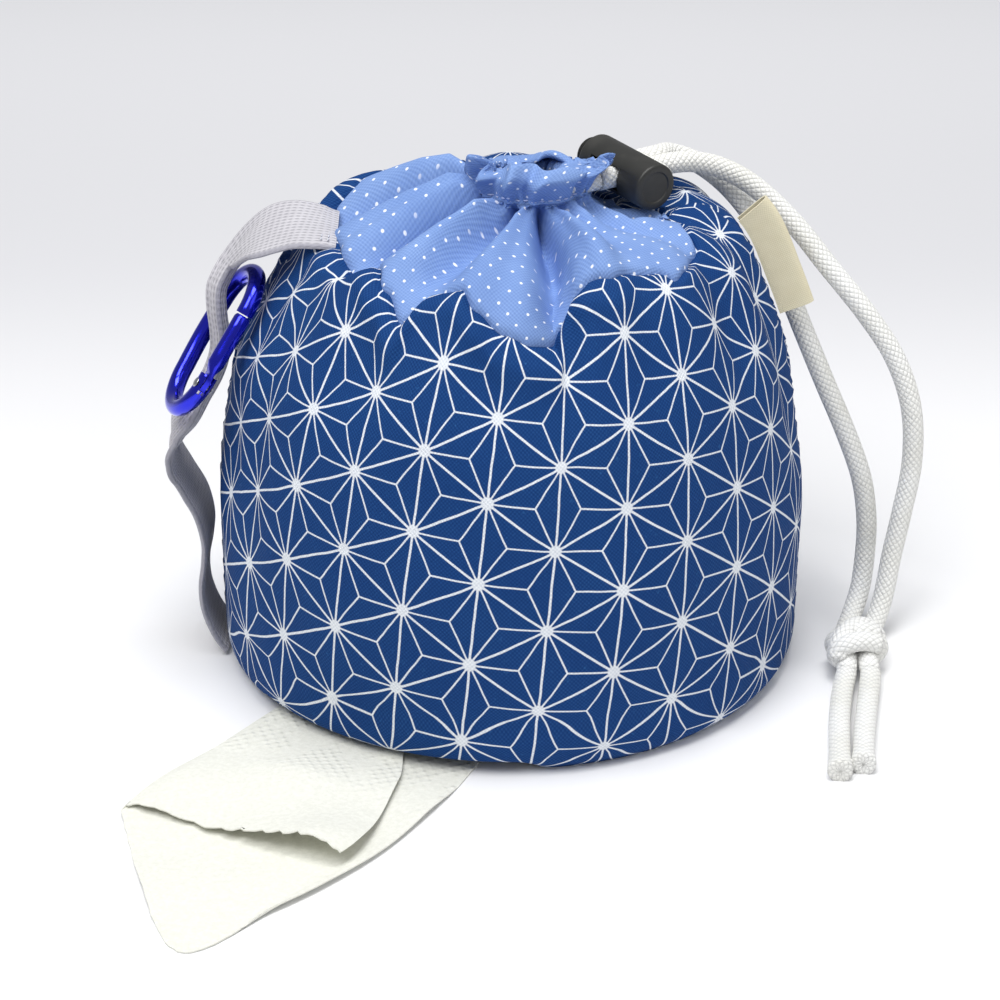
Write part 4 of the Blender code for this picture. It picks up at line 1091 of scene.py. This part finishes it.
def lock_pieces():
    """The barrel, the plunger and the spring between them. Each outline is radius and distance
    from the barrel's front end."""
    back = -LOCK_AXIS
    length = BARREL_LENGTH
    outline = [
        (0, 0.35), (3.3, 0.35), (3.55, 0.3), (3.75, 0.05), (4.0, 0.0), (4.7, 0.0), (5.05, 0.06),
        (5.3, 0.2), (5.44, 0.45), (5.5, 0.8), (5.5, length - 0.8), (5.44, length - 0.4),
        (5.3, length - 0.15), (5.05, length), (4.5, length), (LOCK_BORE, length - 0.25),
        (LOCK_BORE, LOCK_END), (0, LOCK_END),
    ]
    black = plastic("lock_black", linear(38, 38, 36), 0.46, 0.03)
    barrel = lathe("lock_barrel", outline, LOCK_FRONT, back, black)
    hole = frame_of(LOCK_HOLE, CORDS, LOCK_AXIS, LOCK_DOWN)
    cut(barrel, block_bm((4 * LOCK_RADIUS, LANES, HOLE_HEIGHT), hole))
    soften(barrel, 0.22, 50)
    place_piece(barrel, "lock_plastic", "cord_lock_barrel", body="cord_lock")

    reach = LOCK_BORE - CLEAR
    start = LOCK_END + SPRING_SPACE
    end = length + BUTTON
    outline = [(0, start), (reach - 0.2, start), (reach, start + 0.2), (reach, length + 0.5)]
    for i in range(4):
        low = length + 0.55 + 0.42 * i
        outline += [(reach, low), (reach - 0.16, low + 0.1)]
        outline += [(reach - 0.16, low + 0.2), (reach, low + 0.3)]
    for i in range(1, 7):
        turn = math.radians(15 * i)
        outline.append((reach - 0.9 + 0.9 * math.cos(turn), end - 0.75 + 0.6 * math.sin(turn)))
    outline += [(reach * 0.5, end - 0.05), (0, end)]
    black = plastic("plunger_black", linear(26, 26, 26), 0.34, 0.02)
    plunger = lathe("lock_plunger", outline, LOCK_FRONT, back, black)
    slot = frame_of(LOCK_HOLE - LOCK_AXIS * PLUNGER_TRAVEL / 2, CORDS, LOCK_AXIS, LOCK_DOWN)
    cut(plunger, block_bm((4 * LOCK_RADIUS, LANES + PLUNGER_TRAVEL, HOLE_HEIGHT), slot))
    place_piece(plunger, "plunger_plastic", "cord_lock_plunger", body="plunger")

    low = LOCK_END + 0.65
    rise = SPRING_SPACE - 1.3
    side, up = transported([LOCK_FRONT, LOCK_FRONT + back])[0][1:]
    coil = []
    for share in np.linspace(0, 1, 161):
        turn = 2 * math.pi * COIL_TURNS * share
        spot = LOCK_FRONT + back * (low + rise * share)
        coil.append(spot + (side * math.cos(turn) + up * math.sin(turn)) * COIL_RADIUS)
    steel = metal("spring_wire", linear(190, 190, 192), 0.28)
    spring = tube_piece("lock_spring", coil, SPRING_WIRE, steel, sides=12, cap=0.05)
    place_piece(spring, "spring_steel", "cord_lock_spring", body="cord_lock")
    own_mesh(spring)


HOOK_TOP = Vector((-59.8, -2.0, 95.4))
HOOK_DOWN = Vector((-0.5, -0.379, -0.778)).normalized()
HOOK_ACROSS = Vector((0.364, -0.915, 0.21))
HOOK_ACROSS = (HOOK_ACROSS - HOOK_DOWN * HOOK_ACROSS.dot(HOOK_DOWN)).normalized()
HOOK_OUT = HOOK_DOWN.cross(HOOK_ACROSS)
HOOK_SIDES = 28


def hook_point(down, across, out=0.0):
    return HOOK_TOP + HOOK_DOWN * down + HOOK_ACROSS * across + HOOK_OUT * out


def hook_row(centre, run, radius):
    side = run.cross(HOOK_OUT).normalized()
    other = run.cross(side).normalized()
    return [centre + (side * math.cos(t) + other * math.sin(t)) * radius for t in circle(HOOK_SIDES)]


def carabiner_pieces():
    half = CARABINER_SPACING / 2
    hinge = CARABINER_LENGTH - half + 0.5
    straight = CARABINER_LENGTH - 2 * half
    bow = [math.pi * i / 32 for i in range(33)]
    path = [(hinge - GATE_LENGTH - CLEAR, half)]
    path += [(half - half * math.sin(t), half * math.cos(t)) for t in bow[2:]]
    for i in range(1, 8):
        path.append((half + straight * i / 8, -half - 0.8 * math.sin(math.pi * i / 8)))
    path += [(CARABINER_LENGTH - half + half * math.sin(t), -half * math.cos(t)) for t in bow]
    path.append((hinge - 1.2, half))
    places = [hook_point(down, across) for down, across in path]
    rows = [hook_row(places[0], -HOOK_DOWN, BAR / 2)]
    for before, place, after in zip(places, places[1:], places[2:]):
        rows.append(hook_row(place, (after - before).normalized(), BAR / 2))
    rows.append(hook_row(places[-1], -HOOK_DOWN, BAR / 2))
    blue = linear(28, 36, 214)
    body = closed("hook_body", loft_bm(rows), metal("blue_anodised", blue, 0.16, 0.6))
    pin = hook_point(hinge + 1.5, half)
    fork = frame_of(hook_point(hinge + 0.8, half), HOOK_DOWN, HOOK_ACROSS, HOOK_OUT)
    bore = (RIVET / 2 + CLEAR, pin - HOOK_OUT * BAR, pin + HOOK_OUT * BAR)
    cut(body, block_bm((5.8, 2 * BAR, HOOK_FORK), fork))
    cut(body, rod_bm(*bore))
    soften(body, 0.25)
    place_piece(body, "anodised_aluminium", "carabiner_body", body="carabiner")

    reach = BAR / 2
    head = [(0, 0.25), (0.75, 0.22), (1.2, 0.02), (1.25, -0.12), (RIVET / 2, -0.2)]
    outline = [(radius, -reach - high) for radius, high in head]
    outline += [(radius, reach + high) for radius, high in head[::-1]]
    steel = metal("rivet_metal", linear(176, 177, 182), 0.3)
    rivet = lathe("hook_rivet", outline, pin, HOOK_OUT, steel, 32)
    place_piece(rivet, "rivet_steel", "gate_rivet", body="carabiner")

    top = hook_point(hinge - GATE_LENGTH, half)
    foot = hook_point(hinge - 3.4, half)
    nose = [(top + HOOK_DOWN * down, wide) for down, wide in ((0, 0.38), (0.25, 0.44), (0.8, 0.5))]
    shank = [(top.lerp(foot, share), 0.5) for share in (0.25, 0.5, 0.75)]
    shank += [(foot - HOOK_DOWN, 0.5), (foot, 0.42)]
    rows = [hook_row(spot, HOOK_DOWN, GATE_BAR * wide) for spot, wide in nose + shank]
    side = HOOK_DOWN.cross(HOOK_OUT).normalized()
    other = HOOK_DOWN.cross(side).normalized()
    for down, wide in ((1.5, 1.5), (3.0, 1.5), (4.5, 1.5), (5.6, 1.2), (6.3, 0.8)):
        row = []
        for turn in circle(HOOK_SIDES):
            across = max(-1, min(1, 1.6 * math.cos(turn))) * wide
            out = max(-1, min(1, 1.6 * math.sin(turn))) * GATE_TONGUE / 2
            row.append(foot + HOOK_DOWN * down + side * across + other * out)
        rows.append(row)
    gate = closed("hook_gate", loft_bm(rows), metal("gate_anodised", blue, 0.2, 0.6))
    cut(gate, rod_bm(*bore))
    soften(gate, 0.15)
    place_piece(gate, "gate_aluminium", "carabiner_gate", body="gate")


STRAP_ASIDE = -2.7
STRAP_COUNT = 260
STRAP_COLUMNS = 29
THROUGH_HOOK = (
    (0, 5.3), (5, 5.3), (8, 4.6), (12, 2.0), (16, -1.2), (20, -3.6), (25, -4.7), (31, -4.8),
    (36, -5.0),
)
STRAP_START = (
    (-40.0, -5.0, 106.8), (-44.0, -5.0, 107.8), (-50.0, -4.0, 107.9), (-56.0, -2.6, 106.2),
    (-60.5, -1.4, 103.2),
)
STRAP_END = (
    (-77.5, -11.0, 60.5), (-80.0, -9.0, 56.0), (-80.0, -6.5, 50.5), (-77.5, -5.0, 44.0),
    (-74.6, -4.2, 37.5), (-73.2, -4.0, 30.5), (-73.6, -4.0, 24.5), (-74.6, -4.0, 18.5),
    (-74.4, -4.0, 12.5), (-72.8, -4.0, 7.0), (-70.9, -4.0, 3.2), (-69.4, -4.0, 1.3),
)


def strap_piece():
    """Webbing from the wall through the carabiner, where it is pinched, and down to the foot."""
    coarse = [Vector(p) for p in STRAP_START]
    coarse += [hook_point(down, STRAP_ASIDE, out) for down, out in THROUGH_HOOK]
    coarse += [Vector(p) for p in STRAP_END]
    knots = runs_along(coarse)
    points = sampled(coarse, STRAP_COUNT)
    runs = runs_along(points)
    rows, uv = [], []
    for i, (place, at) in enumerate(zip(points, runs)):
        index = float(np.interp(at * knots[-1] / runs[-1], knots, range(len(coarse))))
        run = (points[min(i + 1, STRAP_COUNT - 1)] - points[max(i - 1, 0)]).normalized()
        pinch = float(smooth(index, 2.8, 6.2) * (1 - smooth(index, 12.0, 16.0)))
        start = float(1 - smooth(index, 2.0, 6.0))
        wide = Vector((0, -1, 0)).lerp(Vector((0.2, -0.95, -0.16)), start)
        wide = wide.lerp(HOOK_ACROSS, pinch)
        wide = (wide - run * wide.dot(run)).normalized()
        face = run.cross(wide)
        width = STRAP_WIDTH + (PINCH_WIDTH - STRAP_WIDTH) * pinch
        upper, lower, marks = [], [], []
        for share in np.linspace(0, 1, STRAP_COLUMNS):
            edge = abs(2 * share - 1)
            thick = STRAP / 2 * (1 - 0.75 * max(0.0, (edge - 0.94) / 0.06) ** 2)
            thick *= 0.92 if edge > 0.86 else 1
            ripple = PINCH_RIPPLE * pinch * math.cos(4 * math.pi * share)
            ripple += 0.25 * (1 - pinch) * math.sin(3.1 * share + at * 0.11)
            spot = place + wide * width * (share - 0.5) + face * ripple
            upper.append(spot + face * thick)
            lower.append(spot - face * thick)
            marks.append((at, STRAP_WIDTH * (share - 0.5)))
        rows.append([tuple(p) for p in upper + lower[::-1]])
        uv.append(marks + marks[::-1] + marks[:1])
    piece = grid_piece("strap_webbing", np.array(rows), uv, ends=True)
    finished(piece, webbing_look(), 55)
    place_piece(piece, "webbing", "webbing_strap")


LABEL_DEPTH = 8.6
LABEL_GAP = 2.6
LABEL_CLOTH = 0.4
LABEL_SIDE = 3.0
LABEL_TOP = 7.15
LABEL_RUN = 1.75
LABEL_HEIGHT = 14.5


def on_cloth(degrees, place):
    return Vector(cloth(np.array([[float(degrees)]]), np.array([[float(place)]]))[0, 0])


def label_piece():
    """A folded tape whose two ends are held in the side seam."""
    half = LABEL_GAP / 2
    outer = [(half, CLEAR)]
    for i in range(1, 24):
        turn = math.pi * i / 24
        bulge = 0.18 * math.sin(2 * turn)
        outer.append((half * math.cos(turn) + bulge, CLEAR + LABEL_DEPTH * math.sin(turn) ** 0.35))
    outer.append((-half, CLEAR))
    room = (half - LABEL_CLOTH) / half
    inner = [(x * room, y - LABEL_CLOTH if y > CLEAR + 1 else CLEAR) for x, y in outer]
    loop = outer + inner[::-1]
    marks = np.cumsum([0.0] + [math.dist(a, b) for a, b in zip(loop, loop[1:] + loop[:1])])
    rows, uv = [], []
    for share in np.linspace(0, 1, 30):
        place = LABEL_TOP - LABEL_RUN * share
        foot = on_cloth(LABEL_SIDE, place)
        up = (on_cloth(LABEL_SIDE, place + 0.1) - on_cloth(LABEL_SIDE, place - 0.1)).normalized()
        side = (on_cloth(LABEL_SIDE + 1, place) - on_cloth(LABEL_SIDE - 1, place)).normalized()
        out = side.cross(up).normalized()
        wide = up.cross(out).normalized()
        rows.append([tuple(foot + wide * x + out * y) for x, y in loop])
        uv.append([(mark, LABEL_RUN * LABEL_HEIGHT * share) for mark in marks])
    piece = grid_piece("side_tag", np.array(rows), uv)
    finished(piece, label_look(), 50)
    place_piece(piece, "label_tape", "side_label")


# Paper: height, then run and reach across for the under layer from its free edge to the fold, and
# for the upper layer from the fold to its free edge
PAPER_STATIONS = (
    (46.0, ((16.2, 7), (16.2, 0), (16.2, -6)), ((16.2, -6), (16.2, 0), (16.2, 6))),
    (26.0, ((15.5, 7), (15.5, 0), (15.5, -6.5)), ((15.5, -6.5), (15.5, 0), (15.5, 6))),
    (14.0, ((10, 9), (10, 0), (10, -9)), ((10, -9), (10, 0), (10, 8))),
    (6.6, ((4, 11), (4, 0), (4, -11)), ((4, -11), (4, 0), (4, 9))),
    (1.8, ((5, 13), (5, 0), (5, -13)), ((5, -13), (5, 0), (5, 10))),
    (0.0, ((14, 17), (14, 0), (14, -18)), ((14, -18), (14, -4), (14, 10))),
    (0.0, ((35, 21), (35, -2), (35, -26)), ((35, -26), (35, -10), (35, 6))),
    (0.0, ((60, 22), (60, -4), (60, -31)), ((60, -31), (60, -14), (60, 4))),
    (0.0, ((78, 22.5), (80, -4), (76, -33.5)), ((76, -33.5), (76, -13), (76, 10))),
    (0.0, ((102, 20.5), (104, -4), (95, -36.3)), ((95, -36.3), (95, -11), (95, 14.5))),
    (0.0, ((121, 15.5), (130, -3), (106, -37.8)), ((104, -37.6), (106, -11), (107, 16))),
    (0.0, ((135, 9.7), (153, -1.6), (115, -39)), ((113, -38.7), (113, -9), (112.7, 15.3))),
)
PAPER_HALF = 0.25
PAPER_LIFT = 1.1
PAPER_MIDDLE = PAPER_HALF + PAPER_LIFT / 2
PAPER_ROWS = 190
PAPER_ACROSS = 40


def paper_piece():
    """The folded sheet as one surface: under layer from its free edge to the fold, then the upper."""
    turn = math.radians(PAPER_HEADING)
    ahead = np.array((math.cos(turn), math.sin(turn), 0))
    right = np.array((-math.sin(turn), math.cos(turn), 0))
    up = np.array((0, 0, 1.0))
    heights, *layers = (np.array(column, float) for column in zip(*PAPER_STATIONS))
    last = len(heights) - 1
    fine = np.linspace(0, last, PAPER_ROWS)
    bent = through(heights[:, None], fine)[:, 0]
    height = np.maximum(0.0, np.where(fine < 5, bent, np.interp(fine, range(last + 1), heights)))
    upright = smooth(height, 0.0, 9.0)[:, None]
    rise = up * (1 - upright) + ahead * upright
    rise = rise / np.linalg.norm(rise, axis=1, keepdims=True)
    ends = smooth(fine, last - 0.6, last)[:, None]
    tear = np.random.default_rng(5).uniform(-1, 1, 200)
    jags = (0.25 * tear[60:60 + PAPER_ACROSS], 0.45 * tear[:PAPER_ACROSS] + 0.35 * np.sin(
        np.arange(PAPER_ACROSS) * 1.9))
    shares = np.linspace(0, 2, PAPER_ACROSS)
    share = shares / 2
    grid, uv = [], []
    for layer, stations in enumerate(layers):
        rows = np.moveaxis(through(stations, fine), 1, 0)
        run, reach = np.moveaxis(through(rows, shares), -1, 0).swapaxes(1, 2)
        level = PAPER_HALF + layer * PAPER_LIFT
        fold = 1 - share if layer else share
        level = level + (PAPER_MIDDLE - level) * np.exp(-((1 - fold) / 0.06) ** 2) * 0.85
        wave = 0.9 * np.sin(run * 0.16 + reach * 0.09 + layer)
        wave = 0.9 + wave + 0.6 * np.sin(reach * 0.23 - run * 0.05 + 2 * layer)
        if layer:
            bulge = 4.2 * np.exp(-((share - 0.82) / 0.2) ** 2) * smooth(run, 84, 112)
            puff = 0.75 * wave + bulge + 1.2 * np.sin(math.pi * share)
        else:
            puff = 0.35 * wave + 0.9 * np.exp(-(share / 0.12) ** 2)
        puff = puff * np.clip((run - 72) / 14, 0, 1) * (1 - upright)
        jag = np.where(ends > (0.9 if layer else 0.95), jags[layer], 0.0)
        stand = level + np.maximum(0.0, puff)
        flat = ahead * (run + jag)[..., None] + right * reach[..., None]
        grid.append(flat + (up * height[:, None])[:, None] + rise[:, None] * stand[..., None])
        uv.append(np.stack((run, reach + 80 * layer), -1))
    points, uv = np.concatenate(grid, axis=1), np.concatenate(uv, axis=1)
    piece = grid_piece("paper_sheet", points, uv, around=False)
    thicken(piece, paper_look("embossed_tissue", True), PAPER_SHEET, 0, 70)
    place_piece(piece, "tissue_tail", "paper_tail")


def stitch_row(name, ends, look, slot, radius=0.22):
    """Short lens-shaped stitches between pairs of points, as one piece."""
    bm = bmesh.new()
    for start, end in ends:
        run = end - start
        made = bmesh.ops.create_uvsphere(bm, u_segments=8, v_segments=6, radius=1.0)
        turn = run.to_track_quat("Z", "Y").to_matrix().to_4x4()
        size = Matrix.Diagonal((radius * MM, radius * MM, run.length / 2 * MM, 1))
        place = Matrix.Translation((start + end) / 2 * MM) @ turn @ size
        bmesh.ops.transform(bm, matrix=place, verts=made["verts"])
    place_piece(closed(name, bm, look), slot)


def stitches():
    ring = []
    for spot in neck_rows()[1]:
        away = Vector((spot[0] - NECK_X, spot[1] - NECK_Y, 0))
        ring.append(Vector(spot) + away.normalized() * 0.12)
    pairs = [(ring[i], ring[(i + 5) % COLUMNS]) for i in range(0, COLUMNS, 8)]
    look = thread("collar_thread", linear(120, 150, 215))
    stitch_row("channel_stitches", pairs, look, "plain_cotton", 0.2)
    pairs = []
    for line in (1.6, 3.2):
        for i in range(8):
            start = Vector((-40.0 - line, -13.2 + 2.05 * i, 107.5 + 0.12 * line))
            pairs.append((start, start + Vector((0, 1.5, 0))))
    stitch_row("strap_stitches", pairs, thread("grey_thread", linear(170, 170, 178)), "webbing")


# Area lights: place, size and power. They and the camera are in metres.
LIGHTS = {
    "key": ((-0.4, -0.55, 1.1), 0.6, 7.2),
    "fill": ((0.8, -0.7, 0.9), 0.9, 2.4),
    "top": ((0.05, -0.05, 1.25), 0.6, 8.6),
}
LIGHT_AIM = Vector((0, 0, 0.05))
CAMERA_DOWN = math.radians(26)
CAMERA_TARGET = Vector((-0.0025, 0.014, 0.0288))
CAMERA_AWAY = 0.69


def stage():
    mesh = bpy.data.meshes.new("studio_floor")
    mesh.from_pydata([(-6, -4, 0), (6, -4, 0), (6, 9, 0), (-6, 9, 0)], [], [(0, 1, 2, 3)])
    floor = linked("studio_floor", mesh)
    look = Look("studio_floor", 0.6)
    depth = look.parts(look.place())[1]
    # painted shade: the floor is painted darker further back, from near white at the pouch to grey half a
    # metre behind
    behind = look.mix(look.ramp(depth, 0.26, 0.55), linear(222, 222, 225), linear(236, 236, 239))
    look.colour(look.mix(look.ramp(depth, 0.05, 0.26), linear(244, 244, 245), behind))
    mesh.materials.append(look.made)
    scene = bpy.context.scene
    world = bpy.data.worlds.new("studio")
    world.use_nodes = True
    shade = world.node_tree.nodes["Background"]
    shade.inputs[0].default_value = (0.97, 0.98, 1.0, 1)
    shade.inputs[1].default_value = 0.36
    scene.world = world
    for name, (place, size, power) in LIGHTS.items():
        light = bpy.data.lights.new(name, "AREA")
        light.size = size
        light.energy = power
        lamp = bpy.data.objects.new(name, light)
        lamp.location = place
        lamp.rotation_euler = (LIGHT_AIM - Vector(place)).to_track_quat("-Z", "Y").to_euler()
        scene.collection.objects.link(lamp)
    camera = bpy.data.cameras.new("camera")
    camera.lens = 100
    camera.sensor_width = 36
    camera.clip_start = 0.01
    eye = bpy.data.objects.new("camera", camera)
    away = Vector((0, -math.cos(CAMERA_DOWN), math.sin(CAMERA_DOWN)))
    eye.location = CAMERA_TARGET + away * CAMERA_AWAY
    eye.rotation_euler = (math.radians(90) - CAMERA_DOWN, 0, 0)
    scene.collection.objects.link(eye)
    scene.camera = eye
    scene.view_settings.view_transform = "Standard"


navy = navy_cotton()
wall_panel("pouch_front", -180.0, "patterned_cotton", "front_panel", navy, (0.0, 0.0))
wall_panel("pouch_back", 0.0, "back_cotton", "back_panel", navy, (7.0, 6.0))
collar_piece()
base_piece()
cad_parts["tissue_roll"].material_slots[0].material = paper_look("roll_tissue", False)
channel_piece()
free_cords()
lock_pieces()
carabiner_pieces()
strap_piece()
label_piece()
paper_piece()
stitches()
stage()
